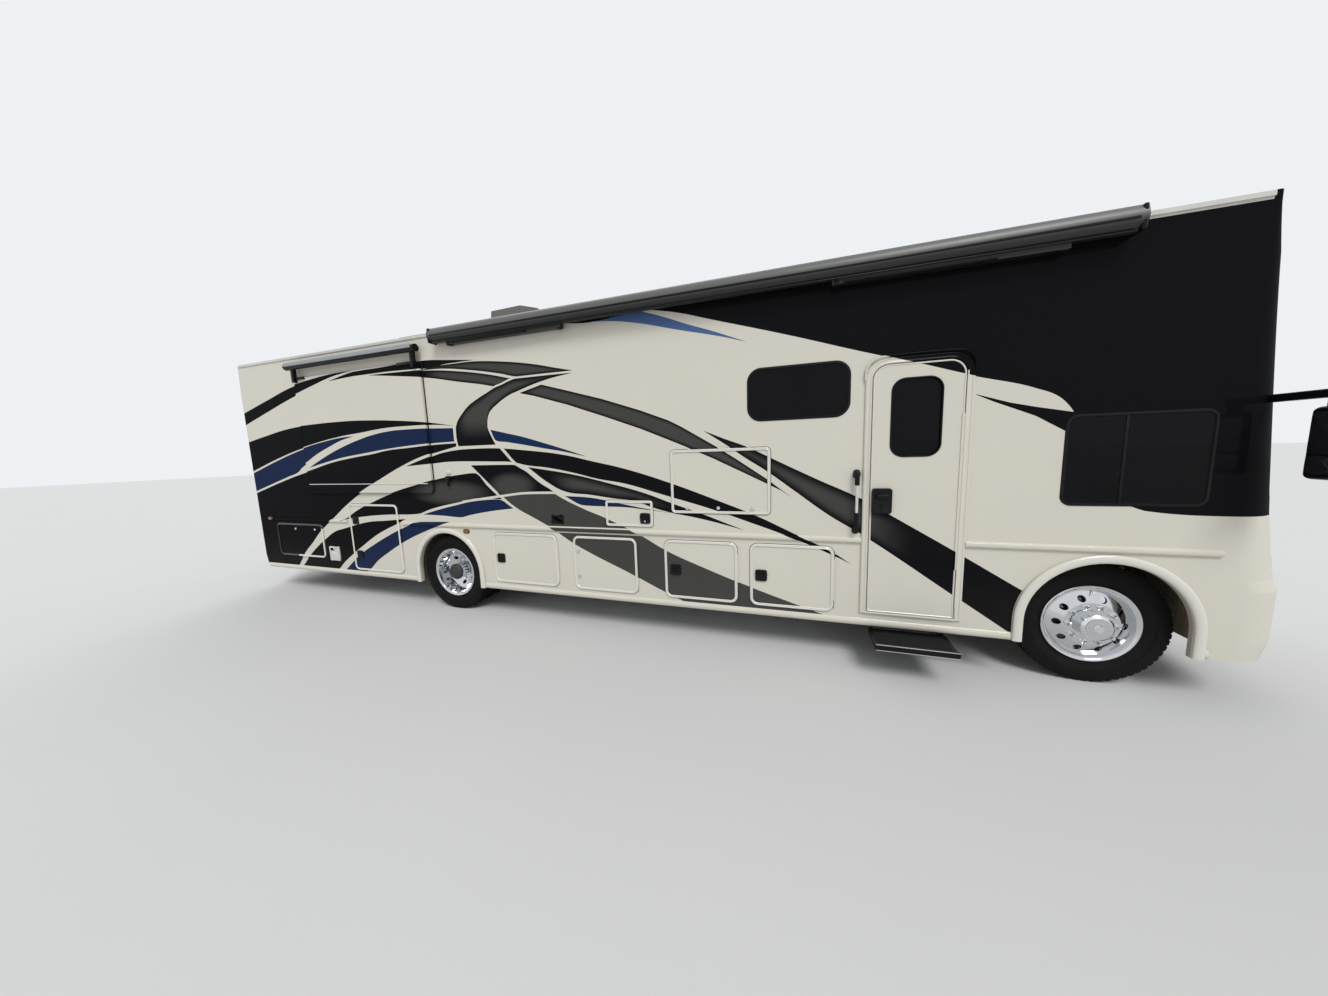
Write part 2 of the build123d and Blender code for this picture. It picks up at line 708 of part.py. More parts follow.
# Main awning: case under the roof edge with its folded lateral arms
awning_rear, awning_front = 160, 6080
awning_bottom, awning_top, awning_proud = 3150, 3318, 135
with BuildPart() as awning:
    with BuildSketch(Plane.YZ.offset(ahead(awning_rear))):
        with BuildLine():
            outside = -(half_width + awning_proud)
            start = -(half_width + 12.3)
            Polyline(
                (start, awning_top), (start, awning_bottom + 20), (outside + 60, awning_bottom),
            )
            ThreePointArc(
                (outside + 60, awning_bottom), (outside, awning_bottom + 70), (outside + 40, awning_top - 10)
            )
            Line((outside + 40, awning_top - 10), (start, awning_top))
        make_face()
    extrude(amount=awning_front - awning_rear)
    for rear, front in ((380, 1830), (4280, 5730)):
        with Locations((ahead((rear + front) / 2), -(half_width + 60), awning_bottom - 8)):
            Box(front - rear, 60, 50)
awning.part.label = "awning"
export_step(awning.part, "parts/awning.step")

# Deck with the stairwell behind the entry door, and the wheel wells below it
tread_heights = (entry_bottom, entry_bottom + 210, entry_bottom + 420)
well_rear, well_front = entry_rear - 20, entry_front + 20
sheet = 6
well_rows = [(rear_axle_x, 560, 620), (front_axle_x, 555, 560)]  # centre, half length, inner side
riser, cheek = 20, 12
with BuildPart() as floor:
    with BuildSketch(Plane.XY.offset(deck_bottom)):
        with Locations(((front_seam_x + rear_seam_x) / 2, 0)):
            Rectangle(front_seam_x - rear_seam_x, 2 * inner_face)
        cut_depth = stairwell_depth + riser + seat_gap
        with Locations((ahead((well_rear + well_front) / 2), -(inner_face - cut_depth / 2))):
            cut_length = well_front - well_rear + 2 * (cheek + seat_gap)
            Rectangle(cut_length, cut_depth, mode=Mode.SUBTRACT)
    extrude(amount=deck_thickness)
    going = stairwell_depth / 3
    with BuildSketch(Plane.YZ.offset(ahead(well_rear))):
        with BuildLine():
            edge = -(half_width + entry_leaf_proud - entry_leaf - 6)
            inside = -(inner_face - stairwell_depth)
            Polyline(
                (edge, tread_heights[0]), (-inner_face + going, tread_heights[0]),
                (-inner_face + going, tread_heights[1]), (-inner_face + 2 * going, tread_heights[1]),
                (-inner_face + 2 * going, tread_heights[2]), (inside, tread_heights[2]),
                (inside, deck_top), (inside + riser, deck_top), (inside + riser, tread_heights[2] - riser),
                (-inner_face + 2 * going + riser, tread_heights[2] - riser),
                (-inner_face + 2 * going + riser, tread_heights[1] - riser),
                (-inner_face + going + riser, tread_heights[1] - riser),
                (-inner_face + going + riser, tread_heights[0] - riser),
                (edge, tread_heights[0] - riser),
                close=True,
            )
        make_face()
    extrude(amount=well_front - well_rear)
    for cheek_x in (ahead(well_rear) - cheek, ahead(well_front)):
        with BuildSketch(Plane.YZ.offset(cheek_x)):
            with BuildLine():
                Polyline(
                    (-(half_width - skirt), tread_heights[0] - riser),
                    (-inner_face + going + riser, tread_heights[0] - riser),
                    (-inner_face + 2 * going + riser, tread_heights[1] - riser),
                    (inside + riser, tread_heights[2] - riser), (inside + riser, deck_top - 10),
                    (-inner_face, deck_top - 10), (-inner_face, deck_bottom),
                    (-(half_width - skirt), deck_bottom), close=True,
                )
            make_face()
        extrude(amount=cheek)
    for centre_x, half_span, inner in well_rows:
        for side in (RIGHT, LEFT):
            outer = half_width - skirt
            foot, head = skirt_bottom + 80, deck_bottom - seat_gap
            with BuildSketch(slab_plane(side, inner, outer)):
                for end in (-1, 1):
                    with Locations((centre_x + end * (half_span - sheet / 2), (foot + head) / 2)):
                        Rectangle(sheet, head - foot)
            extrude(amount=outer - inner)
floor.part.label = "floor"
export_step(floor.part, "parts/floor.step")

# Baggage bays behind the skirt doors: side, rear, front, bottom, top
bay_inner = 530
bays = [
    (RIGHT, 660, 1640, 405, 1035), (RIGHT, 1720, 2640, 405, 1035), (RIGHT, 2740, 3560, 405, 1035),
    (RIGHT, 3580, 4400, 405, 1035), (RIGHT, -1720, -720, 395, 1035), (RIGHT, -3300, -2200, 515, 1035),
    (LEFT, 660, 1800, 405, 1035), (LEFT, 3000, 4400, 405, 1035), (LEFT, -1720, -720, 405, 1035),
]
bay_wall = 8
with BuildPart() as baggage_bays:
    for side, rear, front, bottom, top in bays:
        outer = half_width - skirt
        with BuildSketch(slab_plane(side, bay_inner, outer)):
            with Locations((ahead((rear + front) / 2), (bottom + top) / 2)):
                Rectangle(front - rear, top - bottom)
        extrude(amount=outer - bay_inner)
        with BuildSketch(slab_plane(side, bay_inner + bay_wall, outer)):
            with Locations((ahead((rear + front) / 2), (bottom + top) / 2)):
                Rectangle(front - rear - 2 * bay_wall, top - bottom - 2 * bay_wall)
        extrude(amount=outer - bay_inner - bay_wall, mode=Mode.SUBTRACT)
baggage_bays.part.label = "baggage_bays"
export_step(baggage_bays.part, "parts/baggage_bays.step")

# Chassis: channel rails with the hitch receiver on its drop plates
rail_rear, rail_front = -3450, 6900
receiver_bore, receiver_outer = 51.6, 64
hitch_pin_radius = 8.2
rail_half = rail_spacing / 2
rail_bottom = rail_top - rail_height
receiver_height = 325
# Cross members ahead of the rear axle
cross_members = (-3400, -2300, -1150, 950, 2100, 3300, 4500, 6760)
# Sills between the rails and the deck, and outriggers between the bays
sill_width = 50
sills = (-3200, -2000, -640, 610, 1680, 2690, 4460, 5800, 6680)
outriggers = [
    (RIGHT, -3400), (RIGHT, -2000), (RIGHT, -640), (RIGHT, 610), (RIGHT, 1680), (RIGHT, 2690),
    (RIGHT, 4460), (LEFT, -3200), (LEFT, -2000), (LEFT, -640), (LEFT, 610), (LEFT, 1900),
    (LEFT, 2900), (LEFT, 4460), (LEFT, 5400),
]
engine_length, engine_width, engine_height = 760, 600, 520
engine_bottom = 500
engine_rear = 5880
step_arm_top = 305
drop_plate = 16
with BuildPart() as chassis_frame:
    for side in (RIGHT, LEFT):
        with BuildSketch(Plane.YZ.offset(ahead(rail_rear))):
            with Locations((side * (rail_half - rail_flange / 2), (rail_top + rail_bottom) / 2)):
                Rectangle(rail_flange, rail_height)
            with Locations(
                (side * (rail_half - rail_flange / 2 - rail_web), (rail_top + rail_bottom) / 2)
            ):
                Rectangle(rail_flange, rail_height - 2 * rail_web, mode=Mode.SUBTRACT)
        extrude(amount=rail_front - rail_rear)
    hitch_front = ahead(rail_rear + 100)
    receiver_end = -rear_face + 20
    with BuildSketch(Plane.YZ.offset(receiver_end)):
        with Locations((0, receiver_height)):
            RectangleRounded(receiver_outer, receiver_outer, 8)
    extrude(amount=hitch_front - receiver_end + 120)
    with Locations((hitch_front, 0, receiver_height)):
        Box(90, rail_spacing + 2 * seat_gap, receiver_outer)
    drop = rail_bottom + 60 - receiver_height
    for side in (RIGHT, LEFT):
        plate_y = side * (rail_half + seat_gap + drop_plate / 2)
        with Locations((hitch_front, plate_y, receiver_height + drop / 2 - 15)):
            Box(160, drop_plate, drop + 30)
    with BuildSketch(Plane.YZ.offset(receiver_end)):
        with Locations((0, receiver_height)):
            Rectangle(receiver_bore, receiver_bore)
    extrude(amount=260, mode=Mode.SUBTRACT)
    with Locations(Location((receiver_end + 65, 0, receiver_height), (90, 0, 0))):
        Cylinder(hitch_pin_radius, receiver_outer + 20, mode=Mode.SUBTRACT)
chassis_frame.part.label = "chassis_frame"
export_step(chassis_frame.part, "parts/chassis_frame.step")

# What is bolted to the rails: cross members, sills, outriggers, mounts, step bracket and legs
leg_places = (-2420, 5400)
with BuildPart() as chassis_members:
    for place in cross_members:
        with Locations((ahead(place), 0, (rail_top + rail_bottom) / 2)):
            Box(70, rail_spacing - 2 * rail_web, rail_height - 2 * rail_web)
            Box(70 - 2 * rail_web, rail_spacing, rail_height - 5 * rail_web, mode=Mode.SUBTRACT)
    for place in sills:
        with Locations((ahead(place), 0, (rail_top + deck_bottom) / 2)):
            Box(sill_width, rail_spacing, deck_bottom - rail_top)
    for side, place in outriggers:
        reach = inner_face - 20 - rail_half - seat_gap
        outrigger_y = side * (rail_half + seat_gap + reach / 2)
        with Locations((ahead(place), outrigger_y, deck_bottom - 50)):
            Box(sill_width, reach, 100)
    for side in (RIGHT, LEFT):
        mount_width = rail_half - rail_web - engine_width / 2
        mount_y = side * (engine_width + mount_width) / 2
        with Locations((ahead(engine_rear + engine_length / 2), mount_y, rail_bottom + 60)):
            Box(120, mount_width, 80)
    plate_y = -(half_width - 50 + rail_half) / 2
    with Locations((ahead((entry_rear + entry_front) / 2), plate_y, step_arm_top + seat_gap + 10)):
        Box(entry_front - entry_rear, half_width - 50 - rail_half, 20)
    for end in (-1, 1):
        post_x = ahead((entry_rear + entry_front) / 2) + end * 200
        post_height = rail_bottom + 60 - step_arm_top - seat_gap
        with Locations((post_x, -(rail_half + 15), step_arm_top + seat_gap + post_height / 2)):
            Box(60, 30, post_height)
    for side in (RIGHT, LEFT):
        for place in leg_places:
            with Locations((ahead(place), side * (rail_half + 45), rail_bottom + 60)):
                Box(120, 90, 160)
            with Locations((ahead(place), side * (rail_half + 45), rail_bottom - 60)):
                Cylinder(38, 420)
            with Locations((ahead(place), side * (rail_half + 45), rail_bottom - 280)):
                Cylinder(110, 20)
chassis_members.part.label = "chassis_members"
export_step(chassis_members.part, "parts/chassis_members.step")

# Engine as one block between the rails, with gearbox, prop shaft and exhaust
with BuildPart() as engine_block:
    with Locations((ahead(engine_rear + engine_length / 2), 0, engine_bottom + engine_height / 2)):
        Box(engine_length, engine_width, engine_height)
engine_block.part.label = "engine_block"
export_step(engine_block.part, "parts/engine_block.step")

shaft_height = 560
pinion_end = 280
pipe_y, pipe_radius, muffler_radius = -230, 38, 110
pipe_z = rail_bottom + rail_web - pipe_radius - seat_gap
with BuildPart() as driveline:
    with BuildSketch(Plane.YZ.offset(ahead(engine_rear))):
        with Locations((0, shaft_height + 150)):
            Circle(200)
    with BuildSketch(Plane.YZ.offset(ahead(5200))):
        with Locations((0, shaft_height)):
            Circle(110)
    loft()
    with BuildSketch(Plane.YZ.offset(ahead(pinion_end))):
        with Locations((0, shaft_height)):
            Circle(45)
    extrude(amount=ahead(5200) - ahead(pinion_end))
    with Locations(Location((ahead(2700), pipe_y, pipe_z), (0, 90, 0))):
        Cylinder(muffler_radius, 1000)
    with BuildSketch(Plane.YZ.offset(ahead(1000))):
        with Locations((pipe_y, pipe_z)):
            Circle(pipe_radius)
    extrude(amount=ahead(5250) - ahead(1000))
driveline.part.label = "driveline"
export_step(driveline.part, "parts/driveline.step")

# Fuel and holding tanks strapped under the rails: rear, front, right side, left side, bottom
tanks = [
    (-2250, -1150, -425, 425, 420),
    (1050, 2050, 90, 425, 430),
    (3350, 4450, 90, 425, 430),
]
with BuildPart() as tanks_node:
    for rear, front, right, left, bottom in tanks:
        with BuildSketch(Plane.XY.offset(bottom)):
            with Locations((ahead((rear + front) / 2), (right + left) / 2)):
                RectangleRounded(front - rear, left - right, 50)
        extrude(amount=rail_bottom - bottom)
tanks_node.part.label = "tanks"
export_step(tanks_node.part, "parts/tanks.step")

# Wheels
hub_radius = 95
spindle_radius = 30
hand_holes = 10
stud_circle = 285
rim_radius = rim_diameter / 2
bead_radius = rim_radius - 2
disc_offset = dual_spacing / 2
drum_radius, drum_width = 175, 50


def tyre_profile(section, middle):
    """Half-section of a tyre across and above the axle, with rounded shoulders."""
    half = tyre_width / 2
    radius = tyre_diameter / 2
    bead = rim_width / 2 - 9
    foot = rim_radius + 16
    belly = (bead_radius + radius) / 2 - 6
    with BuildSketch(section) as profile:
        with BuildLine():
            Polyline(
                (middle - bead, foot), (middle - bead, bead_radius),
                (middle + bead, bead_radius), (middle + bead, foot),
            )
            ThreePointArc(
                (middle + bead, foot), (middle + half, belly), (middle + half - 14, radius - 34)
            )
            ThreePointArc(
                (middle + half - 14, radius - 34),
                (middle + half - 20, radius - 12),
                (middle + half - 40, radius - 4),
            )
            ThreePointArc(
                (middle + half - 40, radius - 4), (middle, radius), (middle - half + 40, radius - 4)
            )
            ThreePointArc(
                (middle - half + 40, radius - 4),
                (middle - half + 20, radius - 12),
                (middle - half + 14, radius - 34),
            )
            ThreePointArc(
                (middle - half + 14, radius - 34), (middle - half, belly), (middle - bead, foot)
            )
        make_face()
    return profile.sketch


def wheel_profile(section, middles, dishes, hub_inner, hub_outer, bore_end):
    """Half-section of one hub with its drum, the discs and the flanged barrels it carries."""
    half = rim_width / 2
    disc = 7
    bore = spindle_radius + running_gap
    with BuildSketch(section) as profile:
        with BuildLine():
            Polyline(
                (hub_inner, bore), (hub_inner, drum_radius), (hub_inner + drum_width, drum_radius),
                (hub_inner + drum_width, hub_radius), (hub_outer, hub_radius),
                (hub_outer, hub_radius - 15), (hub_outer + 20, hub_radius - 15), (hub_outer + 20, 0),
                (bore_end, 0), (bore_end, bore), close=True,
            )
        make_face()
        for middle, dish in zip(middles, dishes):
            turn = 1 if dish > 0 else -1
            with BuildLine():
                Polyline(
                    (middle - half - 6, rim_radius + 14),
                    (middle - half + 6, rim_radius + 14),
                    (middle - half + 8, bead_radius - 0.3),
                    (middle + half - 8, bead_radius - 0.3),
                    (middle + half - 6, rim_radius + 14),
                    (middle + half + 6, rim_radius + 14),
                    (middle + half, bead_radius - 15),
                    (middle + turn * 30, bead_radius - 35),
                    (middle - half, bead_radius - 15),
                    close=True,
                )
            make_face()
            foot = middle + 0.45 * dish
            face = middle + dish
            with BuildLine():
                Polyline(
                    (foot - 2 * disc, bead_radius - 14), (foot + 2 * disc, bead_radius - 14),
                    (face + disc, hub_radius + 75), (face + disc, hub_radius - 10),
                    (face - disc, hub_radius - 10), (face - disc, hub_radius + 75),
                    close=True,
                )
            make_face()
    return profile.sketch


# Wheel sets, built on the right and mirrored: end, tyre's and rim's names, axle's X, tyre middles
# and the dish of each disc, all measured outboard from the centre line
front_disc = 110
rear_disc = disc_offset - 9
spindle_length = 50  # past the front disc's face, and into the rear hub
front_hub_inner = kingpin_y + 78
rear_hub_inner = rear_tyre_y - dual_spacing + rear_disc - 60
wheel_sets = [
    ("front", "front_tyre", "front_rim", front_axle_x, [front_tyre_y], [front_disc]),
    ("rear", "rear_tyres", "rear_rims", rear_axle_x,
     [rear_tyre_y, rear_tyre_y - dual_spacing], [-rear_disc, rear_disc]),
]
for end, tyre_name, rim_name, axle_x, middles, dishes in wheel_sets:
    section = Plane(origin=(axle_x, 0, axle_height), x_dir=(0, RIGHT, 0), z_dir=(RIGHT, 0, 0))
    spin_axis = Axis((axle_x, 0, axle_height), (0, 1, 0))
    with BuildPart() as tyre:
        revolve([tyre_profile(section, middle) for middle in middles], axis=spin_axis)
    face = middles[0] + dishes[0]
    if end == "front":
        hub_inner, hub_outer, bore_end = front_hub_inner, face + 70, face + spindle_length + 3
    else:
        hub_inner, hub_outer = rear_hub_inner, face + 190
        bore_end = rear_hub_inner + spindle_length + 3
    with BuildPart() as rim:
        profile = wheel_profile(section, middles, dishes, hub_inner, hub_outer, bore_end)
        revolve(profile, axis=spin_axis)
        with BuildSketch(slab_plane(RIGHT, face, face + 32)):
            with Locations((axle_x, axle_height)):
                with PolarLocations(stud_circle / 2, 10):
                    Circle(13)
        extrude(amount=32)
        for middle, dish in zip(middles, dishes):
            near, far = sorted((middle + 0.3 * dish, middle + 1.3 * dish))
            with BuildSketch(slab_plane(RIGHT, near, far)):
                with Locations((axle_x, axle_height)):
                    with PolarLocations(hub_radius + 108, hand_holes):
                        Circle(24)
            extrude(amount=far - near, mode=Mode.SUBTRACT)
    for piece, name in ((tyre.part, tyre_name), (rim.part, rim_name)):
        opposite = mirror(piece, about=Plane.XZ)
        piece.label, opposite.label = f"{name}_right", f"{name}_left"
        export_step(piece, f"parts/{name}_right.step")
        export_step(opposite, f"parts/{name}_left.step")

# Front axle: dropped beam with kingpin bosses, leaf springs and hangers
spring_y = rail_half + spring_width / 2 + seat_gap
boss_radius, boss_height = 44, 110
beam_end = kingpin_y - 60
beam_drop = 60
front_spring_span = 1250
spring_eye = 32


def leaf_spring(centre_x, side, seat_height, span, leaves):
    """Leaf pack on its seat, shorter leaves below, with hangers up to the chassis rail."""
    for leaf in range(leaves):
        length = span * (1 - leaf / (leaves + 1))
        height = seat_height + (leaves - leaf - 0.5) * leaf_thickness
        with Locations((centre_x, side * spring_y, height)):
            Box(length, spring_width, leaf_thickness)
    eye_height = seat_height + leaves * leaf_thickness
    for end in (-1, 1):
        with Locations((centre_x + end * span / 2, side * spring_y, (eye_height + rail_top - 60) / 2)):
            Box(60, spring_width, rail_top - 60 - eye_height + 2 * leaf_thickness)


beam_z = axle_height - beam_drop
with BuildPart() as front_axle:
    with BuildSketch(Plane.XZ.offset(-beam_end)):
        with Locations((front_axle_x, beam_z)):
            Rectangle(90, 90)
        with Locations((front_axle_x - 32, beam_z), (front_axle_x + 32, beam_z)):
            Rectangle(28, 54, mode=Mode.SUBTRACT)
    extrude(amount=2 * beam_end)
    for side in (RIGHT, LEFT):
        with Locations((front_axle_x, side * kingpin_y, axle_height)):
            Cylinder(boss_radius, boss_height)
        with Locations((front_axle_x, side * (beam_end - 5), axle_height - 20)):
            Box(70, 60, 70)
        with Locations((front_axle_x, side * spring_y, beam_z + 60)):
            Box(130, spring_width, 40)
        leaf_spring(front_axle_x, side, beam_z + 80, front_spring_span, 3)
        with Locations((front_axle_x, side * kingpin_y, axle_height)):
            Cylinder(19 + running_gap, boss_height, mode=Mode.SUBTRACT)
front_axle.part.label = "front_axle"
export_step(front_axle.part, "parts/front_axle.step")

# Steering knuckles: yoke about the kingpin, spindle, and an arm behind that passes under the beam
arm_length = 170  # parallel arms, so both wheels turn by the same angle
arm_thickness = 24
arm_bottom = beam_z - 45 - 5 - arm_thickness
yoke_thickness = 36
yoke_gap = 1
tie_pin = 12
web_inner, web_outer = kingpin_y + 50, kingpin_y + 70
for side, tag in ((LEFT, "left"), (RIGHT, "right")):
    with BuildPart() as knuckle:
        with Locations((front_axle_x, side * kingpin_y, axle_height)):
            Cylinder(19, boss_height + 2 * yoke_thickness)
        upper = axle_height + boss_height / 2 + yoke_gap
        lower = axle_height - boss_height / 2 - yoke_gap
        for bottom, top in ((upper, upper + yoke_thickness), (arm_bottom, lower)):
            with Locations((front_axle_x, side * kingpin_y, (bottom + top) / 2)):
                Cylinder(boss_radius, top - bottom)
            with Locations((front_axle_x, side * (kingpin_y + web_outer) / 2, (bottom + top) / 2)):
                Box(70, web_outer - kingpin_y, top - bottom)
        web_top = upper + yoke_thickness
        with Locations((front_axle_x, side * (web_inner + web_outer) / 2, (arm_bottom + web_top) / 2)):
            Box(110, web_outer - web_inner, web_top - arm_bottom)
        spindle_end = front_tyre_y + front_disc + spindle_length
        with BuildSketch(slab_plane(side, web_inner, spindle_end)):
            with Locations((front_axle_x, axle_height)):
                Circle(spindle_radius)
        extrude(amount=spindle_end - web_inner)
        arm_x, arm_y = front_axle_x - arm_length, kingpin_y
        with BuildSketch(Plane.XY.offset(arm_bottom)):
            with BuildLine():
                Polyline(
                    (front_axle_x, side * (kingpin_y - 30)), (front_axle_x, side * (kingpin_y + 30)),
                    (arm_x, side * (arm_y + 20)), (arm_x, side * (arm_y - 20)), close=True,
                )
            make_face()
            with Locations((arm_x, side * arm_y)):
                Circle(24)
        extrude(amount=arm_thickness)
        with Locations((arm_x, side * arm_y, arm_bottom - 19)):
            Cylinder(tie_pin, 42)
    knuckle.part.label = f"knuckle_{tag}"
    export_step(knuckle.part, f"parts/knuckle_{tag}.step")

# Tie rod between the two steering arms, its eyes under the arms
rod_z = arm_bottom - 20
with BuildPart() as tie_rod:
    with BuildSketch(Plane.XZ.offset(-(arm_y - 20))):
        with Locations((arm_x, rod_z)):
            Circle(16)
    extrude(amount=2 * (arm_y - 20))
    for side in (RIGHT, LEFT):
        with Locations((arm_x, side * arm_y, rod_z)):
            Cylinder(26, 32)
    for side in (RIGHT, LEFT):
        with Locations((arm_x, side * arm_y, rod_z)):
            Cylinder(tie_pin + running_gap, 60, mode=Mode.SUBTRACT)
tie_rod.part.label = "tie_rod"
export_step(tie_rod.part, "parts/tie_rod.step")

# Rear axle: banjo housing, tubes with spindles, leaf springs and hangers
with BuildPart() as rear_axle:
    with Locations(Location((rear_axle_x, 0, axle_height), (90, 0, 0))):
        Cylinder(70, 2 * (rear_hub_inner - 8))
    with Locations((rear_axle_x, 0, axle_height)):
        Sphere(205)
    pinion_length = pinion_end - 120
    with Locations(Location((ahead(120 + pinion_length / 2), 0, shaft_height), (0, 90, 0))):
        Cylinder(70, pinion_length)
    for side in (RIGHT, LEFT):
        with BuildSketch(slab_plane(side, rear_hub_inner - 20, rear_hub_inner + spindle_length)):
            with Locations((rear_axle_x, axle_height)):
                Circle(spindle_radius)
        extrude(amount=spindle_length + 20)
        with Locations((rear_axle_x, side * spring_y, axle_height + 80)):
            Box(150, spring_width, 52)
        leaf_spring(rear_axle_x, side, axle_height + 105, 1180, 5)
rear_axle.part.label = "rear_axle"
export_step(rear_axle.part, "parts/rear_axle.step")

# Entry step, shown run out below the door: two side arms and a tread with a deep front lip
step_top = 298
step_lip_top = 318
step_out = 300
with BuildPart() as entry_step:
    with BuildSketch(Plane.XY.offset(step_top - 30)):
        with Locations((ahead((entry_rear + entry_front) / 2), -(half_width + step_out / 2 - 20))):
            RectangleRounded(570, step_out + 40, 20)
    extrude(amount=30)
    for end in (-1, 1):
        arm_x = ahead((entry_rear + entry_front) / 2) + end * 262
        with Locations((arm_x, -(half_width - 230), step_arm_top - 25)):
            Box(14, 560, 50)
    lip_depth, lip_height = 24, step_lip_top - step_top + 30
    with Locations((ahead((entry_rear + entry_front) / 2), -(half_width + step_out - lip_depth / 2),
                    step_lip_top - lip_height / 2)):
        Box(560, lip_depth, lip_height)
entry_step.part.label = "entry_step"
export_step(entry_step.part, "parts/entry_step.step")

# Mirrors on the front cap's corners, each an arm and a head
mirror_reach = half_width + 385
with BuildPart() as mirrors:
    for side in (RIGHT, LEFT):
        with Locations((front_seam_x + 150, side * (half_width + 100), 2080)):
            Box(60, 410, 50)
        with Locations((front_seam_x + 190, side * (mirror_reach - 110), 1800)):
            Box(90, 220, 420)
        with Locations((front_seam_x + 165, side * (mirror_reach - 110), 2050)):
            Box(60, 60, 110)
    add(front_solid(-seat_gap), mode=Mode.SUBTRACT)
mirrors.part.label = "mirrors"
export_step(mirrors.part, "parts/mirrors.step")

# Cab inside the windshield: dash with its cowl, seats, steering wheel
dash_half = half_width - 190
wheel_tilt = 35
wheel_centre = (front_seam_x - 330, 560, 1560)
steering_plane = Plane(
    origin=wheel_centre, x_dir=(0, 1, 0), z_dir=Vector(-1, 0, 0).rotate(Axis.Y, wheel_tilt)
)
with BuildPart() as dash:
    with BuildSketch(Plane.XZ.offset(-dash_half)):
        with BuildLine():
            Polyline(
                (front_seam_x - 60, deck_top), (front_seam_x - 160, 1420),
                (front_seam_x - 60, 1500), (front_seam_x + 280, 1400), (front_seam_x + 280, deck_top),
                close=True,
            )
        make_face()
    extrude(amount=2 * dash_half)
    column = steering_plane.offset(-14 - running_gap)
    with BuildSketch(column):
        Circle(32)
    extrude(amount=-330)
dash.part.label = "dash"
export_step(dash.part, "parts/dash.step")

with BuildPart() as steering_wheel:
    with BuildSketch(Plane(origin=wheel_centre, x_dir=steering_plane.z_dir, z_dir=steering_plane.y_dir)):
        with Locations((0, 215)):
            Circle(16)
    revolve(axis=Axis(wheel_centre, steering_plane.z_dir))
    with BuildSketch(steering_plane.offset(-14)):
        Circle(70)
        with PolarLocations(0, 3, start_angle=90):
            with Locations((108, 0)):
                Rectangle(216, 34)
    extrude(amount=22)
steering_wheel.part.label = "steering_wheel"
export_step(steering_wheel.part, "parts/steering_wheel.step")

with BuildPart() as cab_seats:
    for side in (RIGHT, LEFT):
        seat_x, seat_y = front_seam_x - 820, side * 620
        with Locations((seat_x, seat_y, deck_top + 130)):
            Cylinder(90, 260)
        with BuildSketch(Plane.XY.offset(deck_top + 260)):
            with Locations((seat_x, seat_y)):
                RectangleRounded(560, 560, 90)
        extrude(amount=160)
        with BuildSketch(Plane.XZ.offset(-(seat_y + 260))):
            with BuildLine():
                Polyline(
                    (seat_x - 150, deck_top + 400), (seat_x - 290, deck_top + 400),
                    (seat_x - 430, deck_top + 1080), (seat_x - 310, deck_top + 1100), close=True,
                )
            make_face()
        extrude(amount=520)
cab_seats.part.label = "cab_seats"
export_step(cab_seats.part, "parts/cab_seats.step")

# Cabinets seen through the windshield: kitchen run, rear bulkhead and overhead bunk front
with BuildPart() as cabinets:
    with Locations((ahead(2500), -(inner_face - 300), deck_top + 450)):
        Box(1900, 600, 900)
    for side, doorway in ((LEFT, 260), (RIGHT, 340)):
        with Locations((ahead(300), side * (inner_face + doorway) / 2, (deck_top + wall_top) / 2)):
            Box(40, inner_face - doorway, wall_top - deck_top)
    with Locations((front_seam_x - 330, 0, 2900)):
        Box(620, 2 * inner_face, 300)
cabinets.part.label = "cabinets"
export_step(cabinets.part, "parts/cabinets.step")
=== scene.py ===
"""Looks of the motorhome: striped paint, trim, wheels, lamps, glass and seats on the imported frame.

Metres. +X is forward, +Y the driver's side, +Z up, as in the frame. Places along the body are
given ahead of the rear axle.
"""

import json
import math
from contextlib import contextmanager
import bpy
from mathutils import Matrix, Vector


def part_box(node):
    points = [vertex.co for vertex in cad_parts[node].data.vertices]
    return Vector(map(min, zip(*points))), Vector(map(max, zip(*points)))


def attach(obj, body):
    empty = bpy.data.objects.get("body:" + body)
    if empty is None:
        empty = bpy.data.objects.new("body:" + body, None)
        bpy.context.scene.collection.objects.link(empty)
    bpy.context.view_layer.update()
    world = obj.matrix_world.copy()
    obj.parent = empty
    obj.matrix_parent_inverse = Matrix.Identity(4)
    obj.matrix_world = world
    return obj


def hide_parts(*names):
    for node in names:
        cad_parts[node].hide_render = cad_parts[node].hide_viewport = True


bl_info = {
    "name": "Motorhome finish",
    "version": (1, 0, 0),
    "blender": (4, 5, 0),
    "location": "3D View > Sidebar > Motorhome",
    "description": "Paints and trims a long motorhome around its packed frame",
    "category": "Object",
}

import bmesh
import bpy
from bpy.props import FloatProperty, FloatVectorProperty, IntProperty, PointerProperty
from mathutils import Matrix, Vector

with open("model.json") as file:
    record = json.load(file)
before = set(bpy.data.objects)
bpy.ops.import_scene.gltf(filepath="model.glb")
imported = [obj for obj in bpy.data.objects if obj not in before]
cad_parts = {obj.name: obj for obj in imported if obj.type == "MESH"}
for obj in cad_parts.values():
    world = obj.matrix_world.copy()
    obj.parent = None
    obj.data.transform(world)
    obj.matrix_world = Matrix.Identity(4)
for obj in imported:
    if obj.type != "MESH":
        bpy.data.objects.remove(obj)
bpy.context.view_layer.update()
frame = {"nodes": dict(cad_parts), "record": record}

RIGHT, LEFT = -1, 1
SIDE_NAMES = {RIGHT: "right", LEFT: "left"}
FACING = {
    "right": (math.pi / 2, 0, 0),
    "left": (math.pi / 2, 0, math.pi),
    "front": (math.pi / 2, 0, math.pi / 2),
    "rear": (math.pi / 2, 0, -math.pi / 2),
    "up": (0, 0, 0),
}


